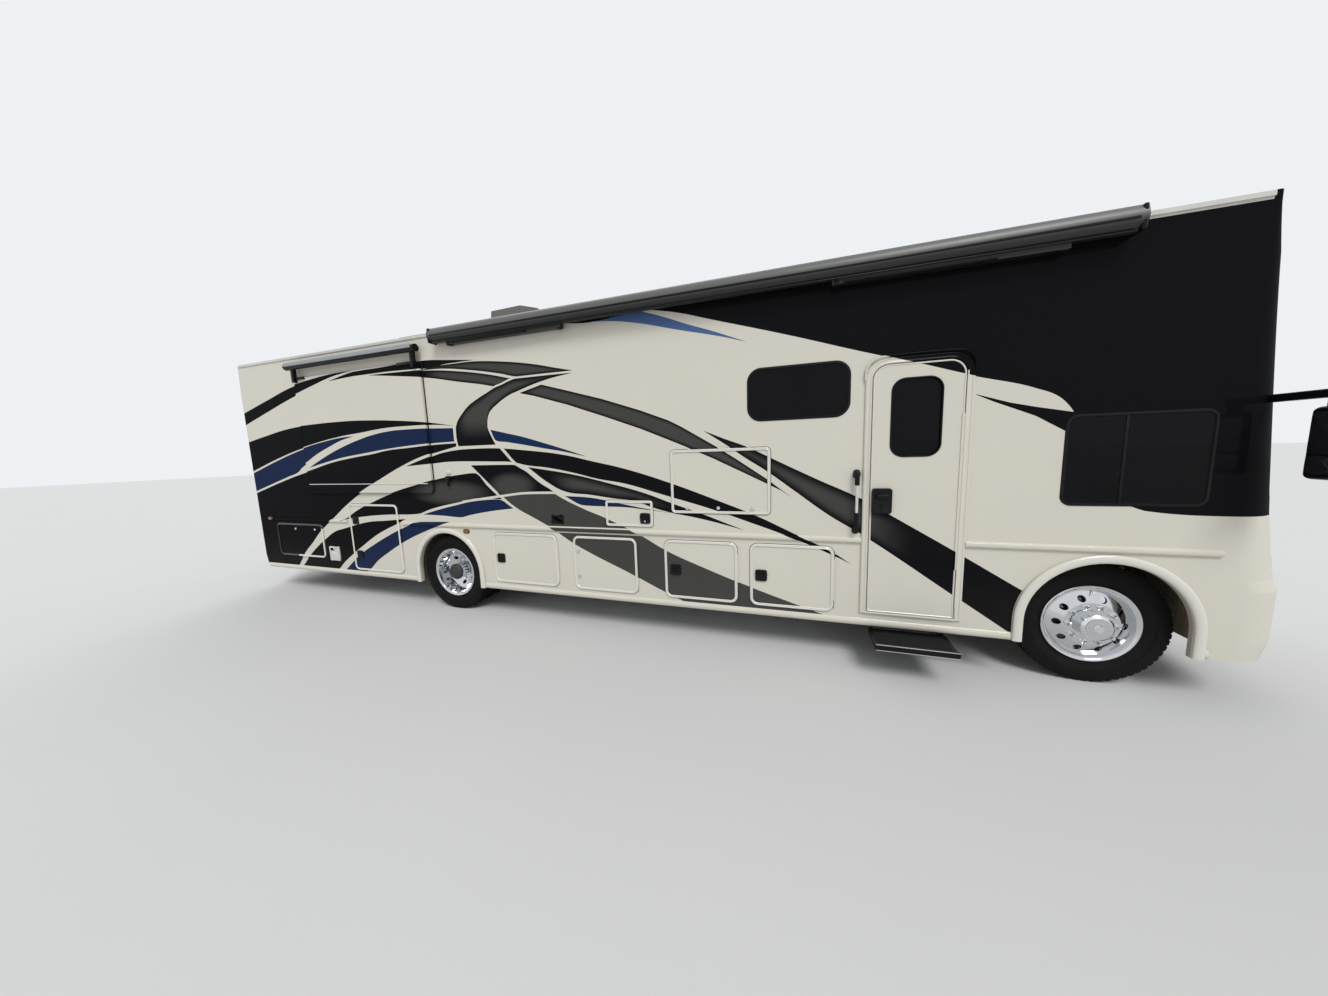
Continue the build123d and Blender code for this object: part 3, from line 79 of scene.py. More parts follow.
def middle(node):
    """Middle of a CAD node's box."""
    low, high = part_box(node)
    return (low + high) / 2


rear_axle_x = middle("rear_rims_right").x
front_axle_x = middle("front_rim_right").x
axle_height = middle("rear_rims_right").z
wall_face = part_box("front_cap")[1].y


def ahead(distance):
    """X of a place given ahead of the rear axle."""
    return rear_axle_x + distance


# Sizes and colours that a user would change


def size_setting(name, value, description):
    return FloatProperty(
        name=name, default=value, min=0.0, description=description, unit="LENGTH", precision=4
    )


def colour_setting(name, value, description):
    return FloatVectorProperty(
        name=name, default=value, min=0.0, max=1.0, size=3, subtype="COLOR", description=description
    )


class MotorhomePaint(bpy.types.PropertyGroup):
    """Colours of the painted body."""

    cream: colour_setting("Cream", (0.63, 0.60, 0.52), "Ground colour of the body")
    black: colour_setting("Black", (0.006, 0.006, 0.007), "Black of the stripes and the roof mask")
    charcoal: colour_setting("Charcoal", (0.056, 0.055, 0.052), "Middle of the shaded stripes")
    navy: colour_setting("Navy", (0.011, 0.021, 0.062), "Dark blue stripes")
    royal: colour_setting("Royal blue", (0.010, 0.025, 0.072), "Blue of the spear ahead of the crescent")
    blue: colour_setting("Blue", (0.070, 0.125, 0.27), "Light blue stripe under the awning")
    inside: colour_setting("Inside", (0.42, 0.38, 0.31), "Wallboard inside the body")
    shading: size_setting("Shading", 0.042, "Width of the black edge of a shaded stripe")
    halo: size_setting("Pinstripe", 0.02, "Width of the cream line round a stripe that crosses others")


class MotorhomeTrim(bpy.types.PropertyGroup):
    """Sizes of the trim."""

    ring: size_setting("Door ring", 0.024, "Width of the ring on each compartment door")
    rise: size_setting("Ring height", 0.006, "Height of the ring over the door")
    window: size_setting("Window frame", 0.022, "Width of a window's black frame")
    seal: size_setting("Seal", 0.012, "Width of a slide-out room's rubber seal")
    handle: size_setting("Handle", 0.011, "Radius of the grab handle's bar")


class MotorhomeWheels(bpy.types.PropertyGroup):
    """Sizes on the wheels."""

    groove: size_setting("Groove", 0.011, "Depth of the tread's grooves")
    groove_width: size_setting("Groove width", 0.010, "Width of the tread's grooves")
    nut: size_setting("Nut", 0.0165, "Radius of a wheel nut across its corners")
    nuts: IntProperty(name="Nuts", default=10, min=3, description="Wheel nuts on each wheel")


class MotorhomeStage(bpy.types.PropertyGroup):
    """Camera and light."""

    lens: FloatProperty(
        name="Lens", default=10.592, min=1.0, description="Focal length on a 36 mm sensor", unit="CAMERA"
    )
    yaw: FloatProperty(name="Yaw", default=0.327714608, description="Turn to the left", unit="ROTATION")
    pitch: FloatProperty(name="Pitch", default=0.123903464, description="Tilt down", unit="ROTATION")
    roll: FloatProperty(name="Roll", default=0.0349651586, description="Lean", unit="ROTATION")
    place: FloatVectorProperty(
        name="Camera", default=(2.3185, -4.8255, 1.896), size=3, subtype="TRANSLATION",
        description="Where the camera stands",
    )
    sun: FloatProperty(name="Key light", default=1.9, min=0.0, description="Strength of the key light")
    sky: FloatProperty(name="Sky light", default=0.62, min=0.0, description="Strength of the light all round")


# Shader graphs


class Value:
    """A socket of a graph. Arithmetic on it adds Math nodes."""

    def __init__(self, graph, socket):
        self.graph = graph
        self.socket = socket

    def math(self, operation, *others):
        return self.graph.node("ShaderNodeMath", (self, *others), operation=operation)

    def __add__(self, other):
        return self.math("ADD", other)

    __radd__ = __add__

    def __sub__(self, other):
        return self.math("SUBTRACT", other)

    def __rsub__(self, other):
        return self.graph.node("ShaderNodeMath", (other, self), operation="SUBTRACT")

    def __mul__(self, other):
        return self.math("MULTIPLY", other)

    __rmul__ = __mul__

    def __truediv__(self, other):
        return self.math("DIVIDE", other)

    def __gt__(self, other):
        return self.math("GREATER_THAN", other)

    def __lt__(self, other):
        return self.math("LESS_THAN", other)

    def __abs__(self):
        return self.math("ABSOLUTE")

    def least(self, other):
        return self.math("MINIMUM", other)

    def most(self, other):
        return self.math("MAXIMUM", other)

    def within(self, low, high):
        """1 between two values, 0 elsewhere."""
        return (self > low) * (self < high)

    def between(self, low, high):
        """Rises from 0 to 1 between two values, and stays there."""
        values = {"Value": self, "From Min": low, "From Max": high}
        return self.graph.node("ShaderNodeMapRange", values, interpolation_type="SMOOTHSTEP")


class Graph:
    """A node tree that calls build."""

    def __init__(self, tree):
        self.tree = tree
        self.tree.nodes.clear()

    def node(self, kind, values=(), output=0, **settings):
        """Adds a node: its settings first, then the values or links of its sockets."""
        made = self.tree.nodes.new(kind)
        for name, setting in settings.items():
            if name == "stops":
                self.set_stops(made.color_ramp, setting)
            elif name == "line":
                self.set_line(made.mapping, setting)
            else:
                setattr(made, name, setting)
        pairs = values.items() if isinstance(values, dict) else enumerate(values)
        for place, value in pairs:
            self.feed(made.inputs[place], value)
        return Value(self, made.outputs[output]) if made.outputs else None

    def feed(self, socket, value):
        if isinstance(value, Value):
            self.tree.links.new(value.socket, socket)
        else:
            socket.default_value = value

    @staticmethod
    def set_stops(ramp, stops):
        while len(ramp.elements) < len(stops):
            ramp.elements.new(0.5)
        for element, (position, colour) in zip(ramp.elements, stops):
            element.position = position
            element.color = colour

    @staticmethod
    def set_line(mapping, points):
        """Draws a curve through points, with a sharp corner at each point of a straight one."""
        straight = points[0] == "straight"
        points = points[1:] if straight else points
        line = mapping.curves[0]
        line.points[0].location = points[0]
        line.points[1].location = points[-1]
        for point in points[1:-1]:
            line.points.new(*point)
        for point in line.points:
            point.handle_type = "VECTOR" if straight else "AUTO_CLAMPED"
        mapping.update()

    def mix(self, factor, below, above):
        """Colour between two colours."""
        values = {0: factor, 6: below, 7: above}
        return self.node("ShaderNodeMix", values, output=2, data_type="RGBA")

    def parts(self, vector):
        """X, Y and Z of a vector."""
        split = self.node("ShaderNodeSeparateXYZ", (vector,)).socket.node
        return [Value(self, split.outputs[axis]) for axis in range(3)]


class Finish(Graph):
    """A material made from nodes, with one main shader."""

    def __init__(self, name):
        self.material = bpy.data.materials.new(name)
        self.material.use_nodes = True
        super().__init__(self.material.node_tree)
        self.shader = self.tree.nodes.new("ShaderNodeBsdfPrincipled")
        output = self.tree.nodes.new("ShaderNodeOutputMaterial")
        self.tree.links.new(self.shader.outputs[0], output.inputs[0])
        coordinates = self.tree.nodes.new("ShaderNodeTexCoord")
        self.place = Value(self, coordinates.outputs["Object"])
        self.facing = Value(self, coordinates.outputs["Normal"])

    def noise(self, scale, detail=3.0, stretch=(1, 1, 1)):
        """Noise between 0 and 1 at a scale per metre."""
        place = self.place
        if stretch != (1, 1, 1):
            place = self.node("ShaderNodeMapping", {"Vector": place, "Scale": stretch})
        return self.node("ShaderNodeTexNoise", {"Vector": place, "Scale": scale, "Detail": detail})

    def bump(self, height, distance, strength=1.0):
        values = {"Height": height, "Distance": distance, "Strength": strength}
        self.feed(self.shader.inputs["Normal"], self.node("ShaderNodeBump", values))

    def set(self, **values):
        """Sets the main shader's sockets, with underscores for spaces."""
        for name, value in values.items():
            self.feed(self.shader.inputs[name.replace("_", " ")], value)
        return self


def opaque(colour, level=1.0):
    """Colour with full alpha, made lighter or darker."""
    return (*[min(1.0, part * level) for part in colour[:3]], 1.0)


def plain_finish(name, colour, roughness, metallic=0.0, mottle=0.12, scale=9.0, grain=0.0, grain_scale=400.0,
                 coat=0.0, stretch=(1, 1, 1), shine=0.5):
    """Finish with mottled colour, uneven gloss and a fine grain."""
    graph = Finish(name)
    cloud = graph.noise(scale, 4.0, stretch)
    tone = graph.mix(cloud, opaque(colour, 1 - mottle), opaque(colour, 1 + mottle))
    graph.set(Base_Color=tone, Metallic=metallic, Coat_Weight=coat, Specular_IOR_Level=shine)
    gloss = graph.noise(scale * 3.1, 5.0, stretch) * (roughness * 0.4) + roughness * 0.8
    graph.set(Roughness=gloss)
    if grain:
        graph.bump(graph.noise(grain_scale, 2.0, stretch), grain)
    return graph


def case_finish(name, low_colour, high_colour, low, high):
    """Powder coat whose colour goes from one at a height to another at a greater one: painted light, with
    painted shade on the lower part and a painted highlight on the top.
    """
    graph = Finish(name)
    height = graph.parts(graph.place)[2]
    # Painted light: darker low down as painted shade, lighter at the top as a painted highlight
    tone = graph.mix(height.between(low, high), opaque(low_colour), opaque(high_colour))
    graph.set(Base_Color=tone, Roughness=graph.noise(20.0, 3.0) * 0.1 + 0.35)
    graph.bump(graph.noise(400.0, 2.0), 0.0002)
    return graph


# Painted stripes in the order that they are laid. Each lies between an upper and a lower edge of
# points ahead of the rear axle and above the ground, and both edges start and end at the same
# places. Charcoal ones glow out of a black edge, either between places along the body or round a
# spot (place, height, half its length, half its height). Soft widens that black edge so many times.
# A halo is a cream line round a stripe. Straight edges turn sharply at their points, others bend. The black
# wedge under the awning is a painted shadow of its case, not paint.
STRIPES = [
    ("rear top", "black",
     [(-3.95, 2.54), (-3.0, 2.78), (-2.5, 2.90), (-2.0, 2.965), (-1.5, 3.0), (-1.15, 3.01)],
     [(-3.95, 2.36), (-3.0, 2.63), (-2.54, 2.755), (-2.0, 2.88), (-1.6, 2.96), (-1.15, 3.005)]),
    ("rear top tail", "black",
     [(-1.66, 2.915), (-1.2, 2.985), (-0.7, 2.992), (-0.1, 3.011), (0.3, 2.98), (0.65, 2.945)],
     [(-1.66, 2.912), (-1.2, 2.932), (-0.7, 2.933), (-0.1, 2.92), (0.3, 2.942), (0.65, 2.943)]),
    ("upper lower", "charcoal",
     [(-0.94, 2.92), (-0.4, 2.91), (0.0, 2.894), (0.4, 2.848), (0.8, 2.78), (1.2, 2.685)],
     [(-0.94, 2.918), (-0.5, 2.87), (0.0, 2.808), (0.4, 2.733), (0.8, 2.661), (1.2, 2.56)],
     {"glow": [(-0.1, 0.2)]}),
    ("upper upper", "charcoal",
     [(-0.1, 2.912), (0.1, 2.934), (0.6, 2.932), (1.0, 2.893), (1.4, 2.828), (1.7, 2.758), (1.878, 2.718)],
     [(-0.1, 2.906), (0.2, 2.894), (0.6, 2.84), (1.0, 2.765), (1.2, 2.718), (1.5, 2.716), (1.878, 2.716)],
     {"glow": [(-0.1, 0.1)]}),
    ("rear wide", "black",
     [(-3.95, 2.15), (-3.2, 2.28), (-2.64, 2.36), (-2.0, 2.39), (-1.5, 2.395), (-1.0, 2.38), (-0.5, 2.347),
      (-0.1, 2.307), (0.28, 2.25)],
     [(-3.95, 1.69), (-2.72, 2.02), (-2.2, 2.12), (-1.6, 2.205), (-1.2, 2.238), (-0.8, 2.272),
      (-0.4, 2.28), (0.0, 2.274), (0.28, 2.249)]),
    ("rear navy", "navy",
     [(-3.95, 1.66), (-2.72, 2.0), (-2.2, 2.11), (-1.9, 2.155), (-1.6, 2.19), (-1.35, 2.2)],
     [(-3.95, 1.40), (-2.8, 1.70), (-2.6, 1.752), (-2.5, 1.812), (-2.3, 1.90), (-2.1, 1.987), (-1.8, 2.09),
      (-1.6, 2.15), (-1.35, 2.198)]),
    ("long navy", "navy",
     [(-2.28, 1.815), (-2.1, 1.889), (-1.8, 2.0), (-1.5, 2.09), (-1.3, 2.14), (-1.0, 2.2), (-0.6, 2.239),
      (-0.3, 2.24), (0.266, 2.224)],
     [(-2.28, 1.813), (-2.0, 1.867), (-1.6, 1.933), (-1.2, 1.976), (-0.8, 2.017), (-0.4, 2.046),
      (0.0, 2.064), (0.266, 2.07)]),
    ("rear field", "black",
     [(-3.95, 1.37), (-2.8, 1.667), (-2.5, 1.733), (-2.2, 1.794), (-1.8, 1.876), (-1.4, 1.928),
      (-1.0, 1.969), (-0.8, 1.998), (-0.4, 2.022), (0.0, 2.044), (0.29, 2.05)],
     [(-3.95, 0.30), (-3.0, 0.30), (-2.89, 0.388), (-2.7, 0.59), (-2.5, 0.75), (-2.3, 0.917), (-2.0, 1.111),
      (-1.7, 1.30), (-1.3, 1.506), (-1.0, 1.63), (-0.6, 1.79), (-0.2, 1.917), (0.0, 1.956),
      (0.29, 2.012)]),
    ("skirt wedge", "black",
     [(-2.79, 0.39), (-2.6, 0.556), (-2.4, 0.70), (-2.222, 0.811), (-2.0, 0.928), (-1.8, 0.978),
      (-1.6, 1.025), (-1.3, 1.083), (-1.0, 1.106), (-0.644, 1.137)],
     [(-2.79, 0.388), (-2.04, 0.39), (-1.89, 0.5), (-1.7, 0.622), (-1.5, 0.739), (-1.2, 0.906),
      (-1.0, 0.994), (-0.82, 1.061), (-0.644, 1.136)]),
    ("skirt navy", "navy",
     [(-1.88, 0.392), (-1.7, 0.528), (-1.5, 0.656), (-1.2, 0.808), (-1.0, 0.9), (-0.8, 0.983),
      (-0.6, 1.056), (-0.5, 1.094), (-0.2, 1.111), (0.067, 1.118)],
     [(-1.88, 0.39), (-1.467, 0.397), (-1.2, 0.58), (-1.0, 0.692), (-0.8, 0.797), (-0.6, 0.889),
      (-0.2, 1.034), (0.067, 1.117)]),
    ("middle field", "charcoal",
     [(-1.86, 1.076), (-1.71, 1.13), (-1.5, 1.233), (-1.2, 1.344), (-0.8, 1.469), (-0.4, 1.563),
      (0.0, 1.644), (0.3, 1.684), (0.51, 1.70), (0.7, 1.54), (0.8, 1.455), (0.88, 1.40)],
     [(-1.86, 1.074), (-1.71, 1.11), (-1.5, 1.139), (-1.0, 1.183), (-0.42, 1.206), (-0.2, 1.27),
      (0.2, 1.35), (0.6, 1.41), (0.88, 1.398)],
     {"spot": (0.12, 1.47, 0.66, 0.17)}),
    ("front navy", "navy",
     [(-0.333, 1.202), (-0.2, 1.236), (0.0, 1.283), (0.2, 1.324), (0.4, 1.363), (0.6, 1.386),
      (0.8, 1.397), (0.86, 1.39), (0.9, 1.375), (0.95, 1.34), (1.02, 1.298)],
     [(-0.333, 1.2), (0.0, 1.191), (0.239, 1.178), (0.4, 1.209), (0.6, 1.244), (0.8, 1.272),
      (1.02, 1.296)]),
    ("diagonal", "charcoal",
     [(0.478, 1.79), (1.06, 1.785), (1.14, 1.76), (1.4, 1.58), (1.6, 1.45), (1.88, 1.32), (2.2, 1.20),
      (2.56, 1.039), (2.8, 0.91), (3.2, 0.75), (3.6, 0.607), (4.0, 0.478), (4.28, 0.39)],
     [(0.478, 1.788), (0.6, 1.678), (0.8, 1.50), (0.9, 1.42), (1.07, 1.30), (1.3, 1.19), (1.5, 1.09),
      (1.75, 0.94), (2.0, 0.82), (2.4, 0.65), (2.77, 0.483), (3.0, 0.388), (3.2, 0.31), (4.28, 0.30)]),
    ("diagonal top", "charcoal",
     [(0.478, 1.79), (1.06, 1.785), (1.14, 1.76), (1.4, 1.58), (1.6, 1.476)],
     [(0.478, 1.788), (0.6, 1.678), (0.8, 1.50), (0.87, 1.44), (1.2, 1.468), (1.6, 1.47)],
     {"spot": (1.02, 1.55, 0.36, 0.17)}),
    ("crossing line", "cream",
     [(0.3, 1.378), (0.6, 1.416), (0.9, 1.452), (1.2, 1.483), (1.6, 1.488), (2.0, 1.453), (2.3, 1.40)],
     [(0.3, 1.352), (0.6, 1.388), (0.9, 1.426), (1.2, 1.457), (1.6, 1.462), (2.0, 1.427), (2.3, 1.385)]),
    ("long black", "black",
     [(-0.489, 1.80), (-0.3, 1.855), (-0.1, 1.906), (0.1, 1.95), (0.6, 1.978), (0.9, 1.97), (1.2, 1.942),
      (1.7, 1.878), (2.05, 1.80), (2.4, 1.719), (2.9, 1.565), (3.3, 1.42), (3.68, 1.272), (4.0, 1.122),
      (4.34, 0.956), (4.47, 0.87)],
     [(-0.489, 1.798), (-0.1, 1.822), (0.2, 1.839), (0.8, 1.826), (1.05, 1.815), (1.25, 1.775),
      (1.5, 1.745), (1.8, 1.69), (2.1, 1.62), (2.4, 1.569), (2.8, 1.459), (3.28, 1.324), (3.6, 1.217),
      (3.95, 1.094), (4.4, 0.905), (4.47, 0.868)]),
    ("right band", "charcoal",
     [(1.26, 1.755), (1.8, 1.67), (2.2, 1.58), (2.6, 1.476), (2.9, 1.372), (3.2, 1.272), (3.4, 1.198),
      (3.567, 1.137)],
     [(1.26, 1.752), (1.5, 1.585), (1.7, 1.49), (2.0, 1.455), (2.3, 1.415), (2.5, 1.395), (2.7, 1.328),
      (2.878, 1.283), (3.1, 1.244), (3.3, 1.202), (3.567, 1.136)],
     {"glow": [(1.5, 1.85), (3.0, 2.4)], "soft": 2.0}),
    ("crossing line two", "cream",
     [(0.9, 2.02), (0.955, 1.967), (1.12, 1.80), (1.26, 1.745), (1.5, 1.575), (1.7, 1.455), (1.9, 1.35)],
     [(0.9, 1.972), (0.955, 1.916), (1.07, 1.80), (1.26, 1.69), (1.5, 1.525), (1.7, 1.41), (1.9, 1.32)]),
    ("right navy", "navy",
     [(1.70, 1.44), (2.0, 1.425), (2.17, 1.40), (2.4, 1.357), (2.67, 1.31), (2.87, 1.281)],
     [(1.70, 1.438), (1.9, 1.345), (2.17, 1.335), (2.4, 1.33), (2.67, 1.303), (2.87, 1.279)]),
    ("crescent horn", "charcoal",
     [(0.7625, 2.569), (0.8, 2.584), (0.9, 2.625), (1.0, 2.65), (1.1, 2.681), (1.2, 2.6975), (1.5, 2.6975),
      (1.869, 2.695)],
     [(0.7625, 2.206), (0.765, 2.25), (0.775, 2.30), (0.8, 2.356), (0.85, 2.406), (0.9, 2.4375), (1.0, 2.494),
      (1.1, 2.5375), (1.2, 2.566), (1.4, 2.619), (1.6, 2.659), (1.869, 2.6925)],
     {"glow": [(0.6, 0.7)], "halo": True, "soft": 1.6}),
    ("crescent foot", "black",
     [(0.7625, 2.206), (0.781, 2.15), (0.806, 2.10), (0.831, 2.05), (0.8525, 2.0145)],
     [(0.7625, 2.0125), (0.8525, 2.0125)]),
    ("crescent", "charcoal",
     [(0.304, 2.12), (0.306, 2.20), (0.325, 2.262), (0.3625, 2.319), (0.425, 2.381), (0.5, 2.444),
      (0.6, 2.50), (0.7, 2.544), (0.7625, 2.569)],
     [(0.304, 2.11), (0.3125, 2.05), (0.325, 2.0125), (0.5, 2.0125), (0.7625, 2.0125)],
     {"glow": [(0.3, 0.5)], "halo": True, "soft": 2.2}),
    ("front band", "charcoal",
     [(1.228, 2.546), (1.502, 2.609), (1.8, 2.526), (2.2, 2.411), (2.6, 2.275), (2.88, 2.165), (3.0, 2.102),
      (3.3, 1.922), (3.5, 1.794), (3.767, 1.611), (3.983, 1.444)],
     [(1.228, 2.542), (1.4, 2.502), (1.8, 2.383), (2.2, 2.244), (2.6, 2.098), (3.0, 1.931),
      (3.3, 1.797), (3.6, 1.65), (3.9, 1.50), (3.983, 1.443)],
     {"glow": [(1.25, 1.4)], "straight": True}),
    ("door band", "charcoal",
     [(3.217, 2.052), (3.4, 1.974), (3.6, 1.895), (3.9, 1.744), (4.2, 1.594), (4.54, 1.43), (4.755, 1.30),
      (5.21, 1.02), (5.66, 0.735), (6.2, 0.40)],
     [(3.217, 2.05), (3.444, 1.90), (3.6, 1.789), (3.767, 1.68), (4.0, 1.506), (4.3, 1.283),
      (4.54, 1.135), (5.21, 0.665), (5.6, 0.39), (5.9, 0.18), (6.2, 0.02)],
     {"glow": [(4.95, 4.45)], "soft": 2.4}),
    ("royal spear", "royal",
     [(0.80, 2.179), (1.0, 2.133), (1.2, 2.088), (1.5, 2.002), (1.7, 1.942), (1.98, 1.852)],
     [(0.80, 2.17), (0.856, 2.06), (1.0, 2.036), (1.2, 2.002), (1.5, 1.947), (1.7, 1.912), (1.98, 1.85)]),
    ("light blue", "blue",
     [(1.6, 3.215), (1.9, 3.245), (2.4, 3.24), (2.78, 3.13), (3.1, 3.0), (3.3, 2.924), (3.6, 2.797)],
     [(1.6, 3.213), (1.87, 3.17), (2.3, 3.135), (2.6, 3.078), (3.0, 2.967), (3.4, 2.859), (3.6, 2.795)]),
    # Black wedge under the awning's case: a painted shadow of the case on the wall, not paint
    ("awning shade", "black",
     [(1.6, 3.215), (1.9, 3.246), (2.3, 3.245), (2.66, 3.20)],
     [(1.6, 3.212), (1.87, 3.170), (2.10, 3.149), (2.37, 3.166), (2.66, 3.198)]),
    ("roof mask", "black",
     [(2.45, 3.23), (2.6, 3.5), (5.0, 3.5), (7.4, 3.5)],
     [(2.45, 3.225), (2.933, 3.133), (3.356, 3.0), (3.972, 2.80), (4.5, 2.617), (4.9, 2.485),
      (5.27, 2.356), (5.64, 2.239), (5.80, 2.15), (5.95, 1.85), (6.1, 1.5), (6.3, 1.36), (6.8, 1.33),
      (7.4, 1.33)]),
    ("front spear", "black",
     [(5.29, 2.222), (5.5, 2.147), (5.655, 2.106), (5.9, 2.05)],
     [(5.29, 2.218), (5.4, 2.160), (5.655, 2.042), (5.9, 1.88)], {"straight": True}),
]
LEVELS = 4.0  # metres of height that a stripe's edge covers, from 0 to 1
BEAD_TOP = 0.397  # top of the bare bead along the bottom edge
HALO_FADE = (2.06, 2.32)  # heights between which the crescent's glow comes in
ARCH_MOULDING = 0.538  # outer radius of the wheel arches' moulding
ARCH_CENTRE = 0.507
ARCH_MIDDLE = 0.505  # radius of the middle of the moulding
ARCH_BARE_TOP = 1.052
# Cream lines along the rub rail's edges and the stretch that they run, and the entry's posts: the lower line
# and the posts are bare cream, the upper line is a painted highlight along the rail's top
RAIL_LINES = ((1.040, 1.056), (1.099, 1.111))
RAIL_LINES_RUN = (0.9, 2.62)
ENTRY_POSTS = ((4.545, 4.606), (5.213, 5.277))
ENTRY_POSTS_TOP = 2.2
LINING_DARK_FROM = 1.25  # height from which the front cap is black inside
# Stretches of the rub rail, each from its rear end to its front end
RUB_RAILS = {
    RIGHT: [(-3.560, -1.710), (-0.690, 4.545), (5.275, 6.710)],
    LEFT: [(-3.560, 6.710)],
}


def painted(graph, colours, along, height):
    """Colour of the body's paint and of the painted shadow under the awning, from the place along the body
    and the height.
    """
    names = ("cream", "black", "charcoal", "navy", "royal", "blue")
    tones = {name: opaque(getattr(colours, name)) for name in names}
    level = height * (1 / LEVELS)
    colour = graph.mix(graph.noise(1.3, 3.0), opaque(colours.cream, 0.97), opaque(colours.cream, 1.03))
    for name, tone, upper, lower, *extra in STRIPES:
        shade = extra[0] if extra else {}
        start, end = upper[0][0], upper[-1][0]
        span = end - start
        share = graph.node("ShaderNodeMath", (along, 1 / span, -start / span), operation="MULTIPLY_ADD")
        edges = []
        for edge in (upper, lower):
            line = [((x - start) / span, z / LEVELS) for x, z in edge]
            if "straight" in shade:
                line.insert(0, "straight")
            edges.append(graph.node("ShaderNodeFloatCurve", {"Value": share}, line=line))
        depth = (edges[0] - level).least(level - edges[1])
        within = graph.node("ShaderNodeMath", (share, 0.5, 0.5), operation="COMPARE")
        paint = tones[tone]
        if "spot" in shade:
            place, middle_height, half_length, half_height = shade["spot"]
            far = (along - place) / half_length
            high = (height - middle_height) / half_height
            paint = graph.mix((far * far + high * high).between(1.0, 0.05), tones["black"], paint)
        if "glow" in shade:
            glow = depth.between(0.0, colours.shading * shade.get("soft", 1.0) / LEVELS)
            for places in shade["glow"]:
                glow = glow * along.between(*places)
            if "halo" in shade:
                glow = glow * height.between(*HALO_FADE)
            paint = graph.mix(glow, tones["black"], paint)
        if "halo" in shade:
            halo = (depth > -colours.halo / LEVELS) * within
            colour = graph.mix(halo, colour, tones["cream"])
        colour = graph.mix((depth > 0.0) * within, colour, paint)
    return colour


def body_paint(name, colours, round_corner=False, shell=True):
    """Gloss paint with its stripes, over plain wallboard on the inside of a shell."""
    graph = Finish(name)
    x, y, height = graph.parts(graph.place)
    face_x, face_y = graph.parts(graph.facing)[:2]
    along = x - rear_axle_x
    stripes = painted(graph, colours, along, height)
    # Bare cream on the bead, arch mouldings, lower rail line and entry posts, and a painted highlight along
    # the rub rail's top
    bare_and_highlight = height < BEAD_TOP
    for axle in (0.0, front_axle_x - rear_axle_x):
        shift = along - axle
        rise = (height - ARCH_CENTRE).most(0.0)
        radius = graph.node("ShaderNodeMath", (shift * shift + rise * rise,), operation="SQRT")
        bare_and_highlight = bare_and_highlight.most((radius < ARCH_MOULDING) * (height < ARCH_BARE_TOP))
    # The upper line over the rub rail is a painted highlight along its top; the lower one is bare cream
    for line in RAIL_LINES:
        bare_and_highlight = bare_and_highlight.most(height.within(*line) * along.within(*RAIL_LINES_RUN))
    for post in ENTRY_POSTS:
        bare_and_highlight = bare_and_highlight.most(along.within(*post) * (height < ENTRY_POSTS_TOP))
    colour = graph.mix(bare_and_highlight, stripes, opaque(colours.cream))
    dust = graph.noise(5.0, 5.0) * (1 - height.between(0.35, 0.9)) * 0.05
    if shell:
        side = y.math("SIGN")
        outward = (face_y * side > 0.3).most(abs(y) > wall_face + 0.0005)
        if round_corner:
            outward = outward.most(face_x * x.math("SIGN") > 0.02)
        lining = opaque(colours.inside)
        if round_corner:
            lining = graph.mix((x > 0) * (height > LINING_DARK_FROM), lining, opaque(colours.black))
        colour = graph.mix(outward, lining, colour)
        dust = dust * outward
    colour = graph.mix(dust, colour, (0.30, 0.27, 0.22, 1.0))
    graph.set(Base_Color=colour, Roughness=graph.noise(14.0, 3.0) * 0.08 + (0.14 + dust * 0.5), Metallic=0.0)
    lightness = graph.node("ShaderNodeRGBToBW", (colour,))
    graph.set(Specular_IOR_Level=0.0, Coat_Weight=lightness * 0.45 + 0.07, Coat_Roughness=0.03)
    graph.bump(graph.noise(90.0, 2.0), 0.0002, 0.35)
    return graph


def plain_paint(name, colours):
    """The body's cream without stripes."""
    graph = plain_finish(name, colours.cream, 0.18, mottle=0.03, scale=3.0, grain=0.0002, grain_scale=90.0)
    return graph.set(Specular_IOR_Level=0.3, Coat_Weight=0.2, Coat_Roughness=0.03)


def ring_finish(name, colours):
    """Cream trim, black on the rearmost compartment door where its stripe covers it."""
    graph = plain_finish(name, (0.68, 0.66, 0.60), 0.22, mottle=0.03, coat=0.3)
    x, y, z = graph.parts(graph.place)
    cream = Value(graph, graph.shader.inputs["Base Color"].links[0].from_socket)
    dark = (x < rear_axle_x - 2.83).most((x < rear_axle_x - 2.24) * (z > 0.96))
    graph.set(Base_Color=graph.mix(dark, cream, opaque(colours.black)))
    return graph


def tyre_rubber(name):
    """Black rubber, dusty on the tread and finely ribbed on the sidewalls."""
    graph = Finish(name)
    y = graph.parts(graph.place)[1]
    rib = (y * 900.0).math("SINE") * 0.5 + 0.5
    cloud = graph.noise(11.0, 5.0)
    colour = graph.mix(cloud, (0.005, 0.005, 0.0055, 1), (0.014, 0.0135, 0.013, 1))
    graph.set(Base_Color=colour, Roughness=cloud * 0.25 + 0.6, Specular_IOR_Level=0.08)
    graph.bump(graph.noise(220.0, 3.0) + rib * 0.3, 0.0006)
    return graph


def wheel_metal(name):
    """Polished rim with faint turning marks and water spots."""
    graph = plain_finish(name, (0.66, 0.67, 0.69), 0.07, metallic=1.0, mottle=0.05, scale=30.0)
    graph.bump(graph.noise(500.0, 2.0, (0.08, 1, 0.08)), 0.00015, 0.6)
    return graph


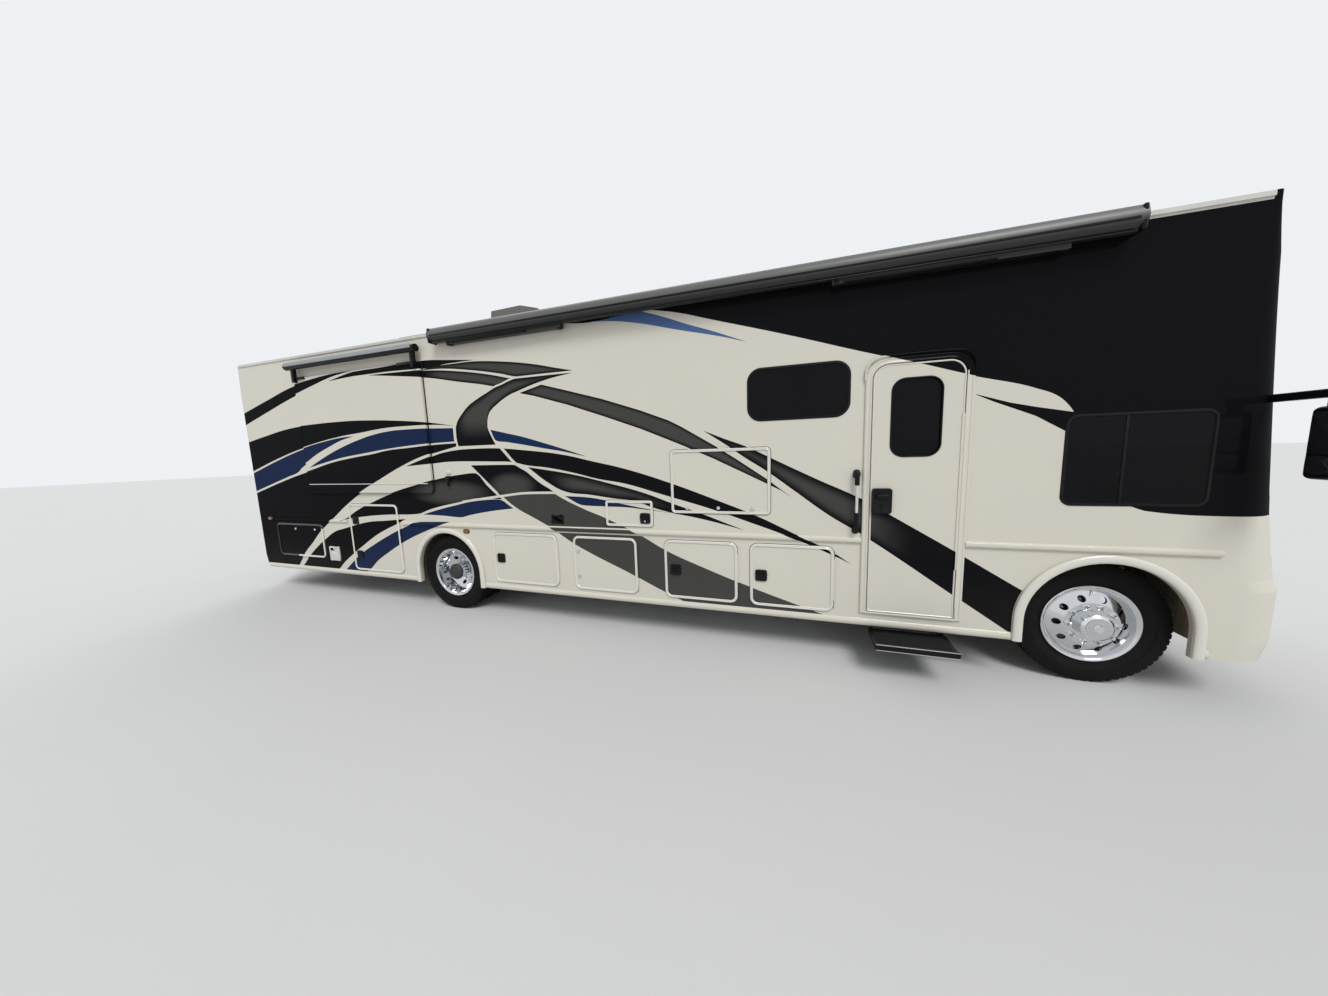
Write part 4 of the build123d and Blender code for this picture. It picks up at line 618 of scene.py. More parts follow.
def wood(name, colour):
    """Varnished wood with long grain."""
    graph = Finish(name)
    rings = graph.node("ShaderNodeTexWave", {
        "Vector": graph.node("ShaderNodeMapping", {"Vector": graph.place, "Scale": (1.0, 1.0, 0.12)}),
        "Scale": 9.0, "Distortion": 6.0, "Detail": 3.0, "Detail Scale": 2.0,
    }, output=1)
    graph.set(Base_Color=graph.mix(rings, opaque(colour, 0.7), opaque(colour, 1.25)))
    graph.set(Roughness=rings * 0.15 + 0.3, Coat_Weight=0.3)
    graph.bump(rings, 0.0003)
    return graph


def woven(name, colour, threads=900.0):
    """Cloth with a plain weave and a soft mottle."""
    graph = Finish(name)
    x, y, z = graph.parts(graph.place)
    warp = ((x + z) * threads).math("SINE")
    weft = ((y + z * 0.7) * threads).math("SINE")
    weave = warp * weft * 0.5 + 0.5
    shade = weave * 0.4 + graph.noise(16.0, 4.0) * 0.6
    graph.set(Base_Color=graph.mix(shade, opaque(colour, 0.6), opaque(colour, 1.2)))
    graph.set(Roughness=weave * 0.1 + 0.8, Sheen_Weight=0.3)
    graph.bump(weave, 0.0006)
    return graph


def tinted_glass(name, colour, alpha):
    """Dark glass with a trace of wiping marks."""
    graph = Finish(name)
    smear = graph.noise(4.0, 5.0, (1, 1, 0.4))
    graph.set(Base_Color=graph.mix(smear, opaque(colour, 0.8), opaque(colour, 1.3)))
    graph.set(Roughness=smear * 0.04 + 0.02, Alpha=smear * 0.04 + (alpha - 0.02), Specular_IOR_Level=0.12)
    return graph


def lens(name, colour, alpha):
    """Moulded lamp lens with fine flutes."""
    graph = Finish(name)
    z = graph.parts(graph.place)[2]
    flutes = (z * 520.0).math("SINE") * 0.5 + 0.5
    graph.set(Base_Color=graph.mix(flutes, opaque(colour, 0.75), opaque(colour, 1.15)))
    graph.set(Roughness=flutes * 0.06 + 0.05, Alpha=flutes * 0.1 + (alpha - 0.05), Coat_Weight=0.6)
    graph.bump(flutes, 0.0008)
    return graph


def make_finishes(colours):
    """Every material, by the name of the record's slot or of its own use."""
    return {
        "body_paint": body_paint("striped_paint", colours),
        "cap_paint": body_paint("cap_paint", colours, round_corner=True),
        "edge_paint": body_paint("edge_paint", colours, shell=False),
        "ring_trim": ring_finish("ring_trim", colours),
        "plain_paint": plain_paint("cream_paint", colours),
        "roof_skin": plain_finish("roof_membrane", (0.58, 0.57, 0.53), 0.6, grain=0.0006, grain_scale=120.0),
        "trim_metal": plain_finish("satin_aluminium", (0.62, 0.63, 0.64), 0.32, metallic=1.0, mottle=0.06),
        "bright_trim": plain_finish("polished_trim", (0.78, 0.79, 0.80), 0.14, metallic=1.0, mottle=0.04),
        "cream_trim": plain_finish("cream_trim", (0.66, 0.64, 0.57), 0.25, mottle=0.04, coat=0.4),
        "glass_tint": tinted_glass("dark_glass", (0.003, 0.003, 0.004), 0.95),
        "windscreen": tinted_glass("windscreen_glass", (0.02, 0.03, 0.03), 0.42),
        "mirror": plain_finish("mirror_glass", (0.86, 0.88, 0.9), 0.03, metallic=1.0, mottle=0.01),
        "lamp_lens": lens("clear_lens", (0.75, 0.77, 0.8), 0.35),
        "tail_lens": lens("red_lens", (0.42, 0.012, 0.01), 0.92),
        "amber_lens": lens("amber_lens", (0.19, 0.085, 0.010), 0.92),
        "dark_plastic": plain_finish("black_plastic", (0.007, 0.007, 0.008), 0.45, grain=0.0003, shine=0.15),
        "white_plastic": plain_finish("white_plastic", (0.62, 0.61, 0.57), 0.35, grain=0.0002),
        # Dark grey shell: its own grey, darkened further as painted shade for the side that stands in shadow
        "cooler_shell": plain_finish("cooler_shell", (0.13, 0.125, 0.115), 0.5, mottle=0.08, grain=0.0004,
                                     shine=0.3),
        "vent_smoke": plain_finish("smoked_lid", (0.030, 0.029, 0.028), 0.3, mottle=0.1, grain=0.0002,
                                   shine=0.3),
        # The awning case's rise from black to grey is painted light: painted shade on its lower half, a
        # painted highlight along its top
        "awning_case": case_finish("awning_case", (0.010, 0.010, 0.010), (0.095, 0.096, 0.090), 3.19, 3.25),
        "grey_vinyl": plain_finish("grey_vinyl", (0.30, 0.32, 0.34), 0.5, grain=0.0003, shine=0.3),
        "tyre_rubber": tyre_rubber("tyre_rubber"),
        "chassis_black": plain_finish("chassis_paint", (0.018, 0.018, 0.019), 0.5, mottle=0.35, grain=0.0005),
        "cast_parts": plain_finish("cast_metal", (0.045, 0.044, 0.042), 0.6, metallic=0.4, mottle=0.4,
                                   grain=0.0008, grain_scale=180.0),
        "wheel_metal": wheel_metal("polished_rim"),
        "cabinet_wood": wood("cabinet_wood", (0.20, 0.10, 0.05)),
        "seat_cloth": woven("seat_cloth", (0.32, 0.27, 0.21)),
        "tank_plastic": plain_finish("tank_plastic", (0.02, 0.02, 0.021), 0.5, grain=0.0004),
        "deck_board": wood("deck_board", (0.30, 0.24, 0.17)),
        "awning_black": plain_finish("satin_black", (0.006, 0.006, 0.007), 0.33, mottle=0.25, coat=0.04,
                                     shine=0.15),
        "rubber": plain_finish("seal_rubber", (0.008, 0.008, 0.008), 0.7, grain=0.0003, shine=0.2),
        "vinyl": plain_finish("dash_vinyl", (0.035, 0.033, 0.031), 0.55, grain=0.0006, grain_scale=260.0),
        "binding": plain_finish("seat_piping", (0.10, 0.085, 0.07), 0.6),
    }


finishes = {}


# Modelling helpers


def deselect():
    for item in bpy.context.selected_objects:
        item.select_set(False)


def pick(*items):
    """Selects these objects alone, the first as the active one."""
    deselect()
    for item in items:
        item.select_set(True)
    bpy.context.view_layer.objects.active = items[0]


@contextmanager
def editing(item):
    """Edit mode on one object with everything in it selected."""
    pick(item)
    bpy.ops.object.mode_set(mode="EDIT")
    bpy.ops.mesh.select_all(action="SELECT")
    yield
    bpy.ops.object.mode_set(mode="OBJECT")


def settle(item):
    """Puts a new object's place into its mesh."""
    pick(item)
    bpy.ops.object.transform_apply(location=True, rotation=True, scale=True)
    return item


def modified(item, kind, **settings):
    """Applies one modifier."""
    pick(item)
    modifier = item.modifiers.new(kind.title(), kind)
    for name, setting in settings.items():
        setattr(modifier, name, setting)
    bpy.ops.object.modifier_apply(modifier=modifier.name)
    return item


def rounded(item, width, segments, angle=30):
    """Rounds the edges that are sharper than an angle."""
    return modified(item, "BEVEL", width=width, segments=segments, limit_method="ANGLE",
                    angle_limit=math.radians(angle))


def block(corner, other, width=0.004, segments=2):
    """Box between two opposite corners, with rounded edges."""
    corner, other = Vector(corner), Vector(other)
    size = [abs(length) for length in other - corner]
    bpy.ops.mesh.primitive_cube_add(size=1, location=(corner + other) / 2, scale=size)
    item = settle(bpy.context.object)
    return rounded(item, width, segments) if width else item


def rod(start, end, radius, sides=20, width=0.0):
    """Round bar between two points."""
    start, end = Vector(start), Vector(end)
    turn = (end - start).to_track_quat("Z", "Y").to_euler()
    bpy.ops.mesh.primitive_cylinder_add(
        vertices=sides, radius=radius, depth=(end - start).length, location=(start + end) / 2, rotation=turn
    )
    item = settle(bpy.context.object)
    return rounded(item, width, 2, 50) if width else item


def lathe(profile, centre, axis, steps=48):
    """Turned piece: a line of (along the axis, radius) points drawn by extrusion and spun round."""
    centre, axis = Vector(centre), Vector(axis).normalized()
    outward = axis.orthogonal().normalized()
    line = [centre + axis * along + outward * radius for along, radius in profile]
    bpy.ops.mesh.primitive_plane_add(size=0.001, location=line[0])
    item = settle(bpy.context.object)
    with editing(item):
        bpy.ops.mesh.merge(type="CENTER")
        for last, point in zip(line, line[1:]):
            bpy.ops.mesh.extrude_vertices_move(TRANSFORM_OT_translate={"value": point - last})
        bpy.ops.mesh.select_all(action="SELECT")
        bpy.ops.mesh.spin(steps=steps, angle=2 * math.pi, center=centre, axis=axis)
        bpy.ops.mesh.select_all(action="SELECT")
        bpy.ops.mesh.remove_doubles(threshold=1e-5)
        bpy.ops.mesh.normals_make_consistent(inside=False)
    return item


def tube(points, radius, sides=4, smooth=True):
    """Bent round bar along points."""
    curve = bpy.data.curves.new("tube", "CURVE")
    curve.dimensions = "3D"
    spline = curve.splines.new("NURBS" if smooth else "POLY")
    spline.points.add(len(points) - 1)
    for point, place in zip(spline.points, points):
        point.co = (*place, 1.0)
    if smooth:
        spline.order_u = 3
        spline.use_endpoint_u = True
    curve.bevel_depth = radius
    curve.bevel_resolution = sides
    curve.use_fill_caps = True
    item = bpy.data.objects.new("tube", curve)
    bpy.context.collection.objects.link(item)
    pick(item)
    bpy.ops.object.convert(target="MESH")
    return bpy.context.object


def plate(centre, width, height, radius, insets, facing="right", open_middle=False, corner=6,
          square_foot=False):
    """Rounded plate facing one way, shaped by insets of (width, rise), with or without its middle."""
    bpy.ops.mesh.primitive_plane_add(size=1, location=centre, rotation=FACING[facing])
    bpy.context.object.scale = (width, height, 1)
    item = settle(bpy.context.object)
    with editing(item):
        if square_foot:
            bpy.ops.mesh.select_mode(type="VERT")
            for vertex in bmesh.from_edit_mesh(item.data).verts:
                vertex.select_set(vertex.co.z > centre[2])
        bpy.ops.mesh.bevel(offset=radius, segments=corner, affect="VERTICES")
        bpy.ops.mesh.select_all(action="SELECT")
        for thickness, rise in insets:
            bpy.ops.mesh.inset(thickness=thickness, depth=rise)
        if open_middle:
            bpy.ops.mesh.delete(type="FACE")
    return item


def copied(item, shift, turn=None):
    """Copy with its own mesh, turned and moved in the mesh."""
    other = item.copy()
    other.data = item.data.copy()
    bpy.context.collection.objects.link(other)
    move = Matrix.Translation(shift)
    other.data.transform(move @ turn if turn else move)
    return other


def copies(pattern, places, turns=(None,)):
    """Copies of a pattern at each place in each turn, instead of the pattern itself."""
    made = [copied(pattern, place, turn) for place in places for turn in turns]
    bpy.data.objects.remove(pattern)
    return made


def join(name, items):
    """One named object from one or several."""
    pick(*items)
    if len(items) > 1:
        bpy.ops.object.join()
    item = bpy.context.object
    item.name = name
    return item


def dress(name, parts, finish, body="coach", angle=35):
    """One finished piece from its parts: its name, material, smooth shading and body."""
    item = join(name, parts if isinstance(parts, (list, tuple)) else [parts])
    item.data.materials.clear()
    item.data.materials.append(finishes[finish].material)
    pick(item)
    bpy.ops.object.shade_smooth_by_angle(angle=math.radians(angle))
    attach(item, body)
    return item


def across(out, side=RIGHT):
    """Y of a place given out from the wall's face on one side."""
    return side * (wall_face + out)


def spot(place, out, height, side=RIGHT):
    """Point given ahead of the rear axle, out from the wall's face and above the ground."""
    return Vector((ahead(place), across(out, side), height))


def outline(edges, out, grow=0.0, side=RIGHT):
    """Centre, width and height of an opening, given its rear, front, bottom and top."""
    rear, front, bottom, top = edges[:4]
    centre = spot((rear + front) / 2, out, (bottom + top) / 2, side)
    return centre, front - rear + 2 * grow, top - bottom + 2 * grow


def beyond(start, *steps):
    """Point some steps along x, y and z from another."""
    return Vector([place + step for place, step in zip(start, steps)])


def surface(node, start, direction):
    """Point and normal where a line first meets a CAD node."""
    hit, point, normal, face = frame["nodes"][node].ray_cast(Vector(start), Vector(direction))
    if not hit:
        raise RuntimeError(f"no surface of {node} beyond {tuple(start)}")
    return point, normal


def end_surface(node, y, height, sign=1):
    """Point and normal where a lengthwise line from the front (1) or the rear (-1) meets a CAD node."""
    return surface(node, (sign * 6.5, y, height), (-sign, 0, 0))


NODE_SLOTS = {part["node"]: part["material_slot"] for part in frame["record"]["subparts"]}

# Compartment doors: side, rear, front, bottom, top, corner radius, latch or lock places
DOORS = {
    "baggage_door_1": (RIGHT, 0.700, 1.560, 0.430, 1.015, 0.070, [(0.803, 0.716)]),
    "baggage_door_2": (RIGHT, 1.765, 2.500, 0.430, 1.015, 0.070, [(1.824, 0.851), (1.824, 0.575)]),
    "baggage_door_3": (RIGHT, 2.795, 3.510, 0.430, 1.015, 0.070, [(2.908, 0.718)]),
    "baggage_door_4": (RIGHT, 3.625, 4.340, 0.430, 1.015, 0.070, [(3.726, 0.718)]),
    "rear_tall_door": (RIGHT, -1.665, -0.765, 0.415, 1.318, 0.070, [(-1.548, 1.098), (-1.540, 0.632)]),
    "far_rear_door": (RIGHT, -3.250, -2.245, 0.540, 1.020, 0.070, [(-2.820, 0.944), (-2.403, 0.944)]),
    "small_side_door": (RIGHT, 2.175, 2.690, 1.135, 1.400, 0.030, [(2.606, 1.222)]),
    "outside_screen_door": (RIGHT, 2.885, 3.810, 1.282, 1.885, 0.040,
                            [(3.041, 1.332), (3.342, 1.337), (3.650, 1.334)]),
    "left_baggage_door_1": (LEFT, 0.700, 1.750, 0.430, 1.015, 0.070, [(0.790, 0.720)]),
    "left_baggage_door_2": (LEFT, 3.050, 4.340, 0.430, 1.015, 0.070, [(3.150, 0.720)]),
    "left_rear_door": (LEFT, -1.665, -0.765, 0.430, 1.015, 0.070, [(-1.580, 0.720)]),
}
ROUND_LOCKS = ("baggage_door_2", "far_rear_door", "outside_screen_door")
DOOR_FACE = 0.008  # CAD ring's face off the wall
LATCH_FOOT = 0.004  # CAD door's face off the wall
LATCH_TOP = 0.0105  # paddle's face off the door
# Finishes of the CAD nodes that don't have the one of their slot
SPECIAL = {
    "front_cap": "cap_paint", "rear_cap": "cap_paint", "windshield": "windscreen",
    "mirrors": "awning_black", "front_bumper": "plain_paint", "rear_bumper": "plain_paint",
    "dash": "vinyl", "steering_wheel": "vinyl", "awning": "awning_case",
    "roof_air_conditioner": "cooler_shell", "roof_vents": "vent_smoke",
}


class MOTORHOME_OT_finishes(bpy.types.Operator):
    """Gives every CAD node its material"""

    bl_idname = "motorhome.finishes"
    bl_label = "Finishes"

    def execute(self, context):
        finishes.update(make_finishes(context.scene.motorhome_paint))
        for name, item in frame["nodes"].items():
            item.data.materials.clear()
            item.data.materials.append(finishes[SPECIAL.get(name, NODE_SLOTS[name])].material)
        return {"FINISHED"}


def latch():
    """Square black latch with a paddle, over its pad and facing right at the origin."""
    bezel = plate((0, 0, 0), 0.106, 0.106, 0.018,
                  [(0.001, 0.0112), (0.002, 0.0018), (0.011, 0.0), (0.003, -0.0016)])
    paddle = plate((0, -0.0112, 0.012), 0.064, 0.046, 0.008,
                   [(0.003, 0.0058), (0.004, 0.0012), (0.010, 0.0), (0.003, -0.002)])
    return join("latch", [bezel, paddle])


def round_lock(radius):
    """Turned lock with a key slot's rim, facing right at the origin."""
    profile = [(0.0, 1), (0.0095, 1), (0.0112, 0.94), (0.0122, 0.80), (0.0116, 0.72), (0.0116, 0.34),
               (0.0128, 0.28), (0.0128, 0.0)]
    return lathe([(along, radius * share) for along, share in profile], (0, 0, 0), (0, -1, 0), 32)


class MOTORHOME_OT_door_trim(bpy.types.Operator):
    """Adds the rings and latches of the compartment doors"""

    bl_idname = "motorhome.door_trim"
    bl_label = "Compartment doors"

    def execute(self, context):
        trim = context.scene.motorhome_trim
        square, lock = latch(), round_lock(0.0165)
        ridge = trim.ring / 4
        steps = [(0.002, trim.rise * 0.6), (ridge, trim.rise * 0.4), (ridge, -trim.rise * 0.6),
                 (ridge, trim.rise * 0.6), (ridge, -trim.rise * 0.9)]
        for door, (side, *edges, radius, places) in DOORS.items():
            ring = plate(*outline(edges, DOOR_FACE, 0.0, side), radius, steps, SIDE_NAMES[side], True, 8)
            dress(f"{door}_ring", ring, "ring_trim", door, 50)
            turn = Matrix.Rotation(0 if side == RIGHT else math.pi, 4, "Z")
            pattern = lock if door in ROUND_LOCKS else square
            pads, keys = [], []
            for place, height in places:
                pads.append(copied(pattern, spot(place, LATCH_FOOT, height, side), turn))
                if pattern is square:
                    low = spot(place, LATCH_FOOT + LATCH_TOP, height - 0.029, side)
                    keys.append(rod(low, low + Vector((0, side * 0.006, 0)), 0.009, 24, 0.001))
            dress(f"{door}_latches", pads, "dark_plastic" if keys else "trim_metal", door)
            if keys:
                finish = "trim_metal" if door == "small_side_door" else "dark_plastic"
                dress(f"{door}_locks", keys, finish, door)
        for item in (square, lock):
            bpy.data.objects.remove(item)
        return {"FINISHED"}


# Entry door and its window: rear, front, bottom, top, corner radius
ENTRY = (4.600, 5.220, 0.470, 2.490, 0.110)
ENTRY_WINDOW = (4.735, 5.075, 1.775, 2.376, 0.101)
LEAF = 0.014  # outer face of the entry door's leaf off the wall
ENTRY_FRAME = (0.012, 0.055, 0.165)  # off the wall, beyond the door's edge, corner radius
SILL = 0.4525  # underside of the frame round the entry door
LATCH_PLACE, LATCH_FACE = 4.686, 0.0428  # middle of the lock, its pad's face off the wall
HANDLE = 4.498  # place of the grab handle
HANDLE_BASE, HANDLE_OUT = -0.001, 0.051  # its feet and its bar off the wall
STEP_TREAD = 0.298  # height of the step's upper face
STEP_RIBS, RIB_PITCH = 13, 0.0178


class MOTORHOME_OT_entry(bpy.types.Operator):
    """Adds the entry door's frame, window ring, handle, latch and the step's tread"""

    bl_idname = "motorhome.entry"
    bl_label = "Entry door and step"

    def execute(self, context):
        self.frame()
        self.latch()
        self.handle(context.scene.motorhome_trim.handle)
        self.step()
        return {"FINISHED"}

    def frame(self):
        out, grow, corner = ENTRY_FRAME
        centre, width, height = outline(ENTRY, out, grow)
        ring = plate(centre, width, height, corner,
                     [(0.003, 0.0045), (0.010, 0.0015), (0.003, -0.003), (0.016, 0.0), (0.003, 0.003),
                      (0.009, 0.001), (0.003, -0.005)], "right", True, 10, True)
        with editing(ring):
            bpy.ops.mesh.bisect(plane_co=(0, 0, SILL), plane_no=(0, 0, 1), clear_inner=True)
        half = width / 2 - 0.002
        sill = block((centre.x - half, across(0.0165), SILL), (centre.x + half, across(0.0115), SILL + 0.014),
                     0.002)
        dress("entry_frame", [ring, sill], "edge_paint", "coach", 50)
        edge = plate(*outline(ENTRY, LEAF), ENTRY[4], [(0.002, 0.003), (0.006, 0.001), (0.004, -0.003)],
                     "right", True, 10, True)
        dress("entry_edge", edge, "cream_trim", "entry_door")
        ring = plate(*outline(ENTRY_WINDOW, LEAF, 0.007), ENTRY_WINDOW[4],
                     [(0.002, 0.005), (0.008, 0.001), (0.003, -0.008)], "right", True, 10)
        dress("entry_window_ring", ring, "dark_plastic", "entry_door")
        bow = [(4.543, 0.013, 2.385), (4.543, 0.017, 2.44), (4.556, 0.019, 2.495), (4.60, 0.020, 2.542),
               (4.68, 0.021, 2.556), (4.91, 0.021, 2.558), (5.14, 0.021, 2.556), (5.22, 0.020, 2.542),
               (5.264, 0.019, 2.495), (5.277, 0.017, 2.44), (5.277, 0.013, 2.380)]
        dress("entry_drip_rail", tube([spot(*place) for place in bow], 0.008), "edge_paint")

    def latch(self):
        lock, face = LATCH_PLACE, LATCH_FACE
        parts = [
            plate(spot(4.6845, LEAF, 1.417), 0.148, 0.208, 0.022,
                  [(0.002, 0.026), (0.003, 0.0030), (0.012, 0.0), (0.003, -0.0018)]),
            block(spot(4.640, face + 0.012, 1.436), spot(4.734, face - 0.004, 1.474), 0.007, 3),
            rod(spot(lock, face - 0.003, 1.386), spot(lock, face + 0.006, 1.386), 0.013, 24, 0.002),
            rod(spot(lock, face - 0.003, 1.352), spot(lock, face + 0.004, 1.352), 0.009, 24, 0.002),
        ]
        dress("entry_latch", parts, "awning_black", "entry_door")

    def handle(self, radius):
        """Bar between two bent ends, with a foot at each and a bulb over the upper one."""
        base, out = HANDLE_BASE, HANDLE_OUT
        upper = [(base, 1.648), (base + 0.030, 1.650), (out, 1.642), (out, 1.60), (out, 1.55)]
        lower = [(out, 1.321), (out, 1.24), (out, 1.18), (base + 0.030, 1.168), (base, 1.170)]
        caps = [tube([spot(HANDLE, *place) for place in upper], radius * 1.7, 6),
                tube([spot(HANDLE, *place) for place in lower], radius * 1.5, 6),
                lathe([(0.0, 0.0), (0.0, 0.029), (0.010, 0.031), (0.040, 0.027), (0.060, 0.017),
                       (0.066, 0.0)], spot(HANDLE, base, 1.640), (0, -1, 0), 24)]
        for height in (1.172, 1.638):
            caps.append(plate(spot(HANDLE, base, height), 0.056, 0.076, 0.024,
                              [(0.003, 0.010), (0.006, 0.006), (0.008, 0.002)]))
        dress("entry_grab_caps", caps, "dark_plastic")
        bar = rod(spot(HANDLE, out, 1.30), spot(HANDLE, out, 1.57), radius, 28)
        dress("entry_grab_bar", bar, "white_plastic")

    def step(self):
        """Ribbed rubber tread and edge strips of the step."""
        low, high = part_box("entry_step")
        x, front, tread = (low.x + high.x) / 2, low.y, STEP_TREAD
        mat = plate((x, front + 0.158, tread), 0.530, 0.250, 0.016, [(0.002, 0.0012), (0.006, 0.0004)], "up")
        pattern = block((x - 0.25, front + 0.044, tread + 0.001), (x + 0.25, front + 0.050, tread + 0.0034),
                        0.001, 1)
        ribs = copies(pattern, [(0, index * RIB_PITCH, 0) for index in range(STEP_RIBS)])
        dress("step_tread", [mat, *ribs], "rubber", "entry_step")
        strips = [block((x - 0.282, front - 0.0012, height), (x + 0.282, front + 0.004, height + 0.006),
                        0.001) for height in (0.3125, 0.2675)]
        dress("step_lip", strips, "trim_metal", "entry_step")


# Windows: name, body, side, rear, front, bottom, top, corner radius, offset of the wall's face
ROOM_FACE = 0.0343  # face of a slide-out room off the wall
WINDOWS = [
    ("kitchen_window", "coach", RIGHT, 3.620, 4.430, 2.118, 2.554, 0.110, 0.0),
    ("cab_window_right", "coach", RIGHT, 5.840, 6.600, 1.400, 2.030, 0.060, 0.0),
    ("cab_window_left", "coach", LEFT, 5.840, 6.600, 1.400, 2.030, 0.060, 0.0),
    ("bedroom_window", "coach", LEFT, -2.300, -1.400, 1.950, 2.520, 0.110, 0.0),
    ("bath_window", "coach", LEFT, -0.600, 0.100, 1.950, 2.520, 0.110, 0.0),
    ("lounge_window", "living_slide", LEFT, 1.100, 2.300, 1.900, 2.560, 0.110, ROOM_FACE),
    ("dinette_window", "living_slide", LEFT, 2.900, 4.150, 1.900, 2.560, 0.110, ROOM_FACE),
]
# Slide-out rooms: name, body, side, rear, front, bottom, top
ROOMS = [
    ("bedroom", "bedroom_slide", RIGHT, -2.342, -0.105, 1.470, 3.000),
    ("living", "living_slide", LEFT, 0.700, 4.550, 1.180, 3.000),
]


class MOTORHOME_OT_windows(bpy.types.Operator):
    """Adds the window frames, sliding panes' bars and the slide-out rooms' seals and trim"""

    bl_idname = "motorhome.windows"
    bl_label = "Windows and slide-outs"

    def execute(self, context):
        frame_width = context.scene.motorhome_trim.window
        steps = [(0.003, 0.005), (frame_width * 0.7, 0.002), (0.004, -0.008)]
        for name, body, side, *edges, radius, out in WINDOWS:
            parts = [plate(*outline(edges, out, frame_width * 0.45, side), radius + 0.01, steps,
                           SIDE_NAMES[side], True, 10)]
            if name != "kitchen_window":
                rear, front, bottom, top = edges
                bar = rear + (front - rear) * (0.42 if "cab" in name else 0.5)
                parts.append(block(spot(bar - 0.008, out + 0.0005, bottom, side),
                                   spot(bar + 0.008, out + 0.004, top, side), 0.001))
            dress(f"{name}_frame", parts, "dark_plastic", body)
        for name, body, side, *edges in ROOMS:
            seal = plate(*outline(edges, 0.0002, 0.008, side), 0.052, [(0.002, 0.010), (0.005, 0.0)],
                         SIDE_NAMES[side], True, 8)
            dress(f"{name}_slide_seal", seal, "rubber", body)
            edge = plate(*outline(edges, ROOM_FACE, 0.0, side), 0.046,
                         [(0.001, 0.002), (0.012, 0.001), (0.003, -0.003)], SIDE_NAMES[side], True, 8)
            dress(f"{name}_slide_edge", edge, "body_paint", body)
        rear, front = ROOMS[0][3:5]
        strip = block(spot(rear + 0.02, 0.0405, 1.581), spot(front - 0.06, 0.034, 1.591), 0.002)
        dress("bedroom_slide_strip", strip, "bright_trim", "bedroom_slide")
        return {"FINISHED"}


TYRE_HALF = 0.120  # half the width over the sidewalls
TYRE_RADIUS = 0.4675
BEAD_RADIUS = 0.2845
BEAD_HALF = 0.086
TWIN_GAP = 0.275  # between the middles of twin tyres
STUD_CIRCLE = 0.1425
NUT_SEAT = {"front": 0.117, "rear": -0.1215}  # feet of the nuts, out from the outer tyre's middle
CAP_DEPTH = 0.030  # hub cap's foot, inward from the rim's outermost point
LIP_OUT = 0.092  # rim's lip, out from the outer tyre's middle
VALVE_OUT = 0.070
LUGS = 60  # tread blocks round each shoulder


def tyre(centre, side, settings):
    """Tyre with rounded shoulders and four grooves round the tread."""
    half, radius, bead = TYRE_HALF, TYRE_RADIUS, BEAD_RADIUS
    shoulder = half - 0.012
    near = [
        (BEAD_HALF, bead), (BEAD_HALF + 0.004, bead + 0.018), (half - 0.022, bead + 0.050),
        (half - 0.006, bead + 0.082), (half - 0.001, bead + 0.105), (half, (bead + radius) / 2 - 0.004),
        (half - 0.003, radius - 0.070), (shoulder + 0.004, radius - 0.045), (shoulder, radius - 0.026),
        (shoulder - 0.008, radius - 0.010), (shoulder - 0.024, radius - 0.004),
    ]
    wide, floor = settings.groove_width / 2, radius - settings.groove
    for place in (0.062, 0.024):
        near += [(place + wide, radius - 0.002), (place + wide - 0.002, floor),
                 (place - wide + 0.002, floor), (place - wide, radius - 0.001)]
    far = [(-along, out) for along, out in reversed(near)]
    return lathe([*near, *far, near[0]], centre, (0, side, 0), 96)


def tread_blocks(centre):
    """Short lugs across the shoulders of the tread."""
    pattern = block((-0.017, 0.082, 0.4490), (0.017, 0.1015, 0.4640), 0.002, 1)
    flips = [Matrix.Diagonal((1, flip, 1, 1)) for flip in (1, -1)]
    turns = [Matrix.Rotation(2 * math.pi * index / LUGS, 4, "Y") for index in range(LUGS)]
    lugs = copies(pattern, [centre], [turn @ flip for turn in turns for flip in flips])
    for lug in lugs[1::2]:
        lug.data.flip_normals()
    return lugs


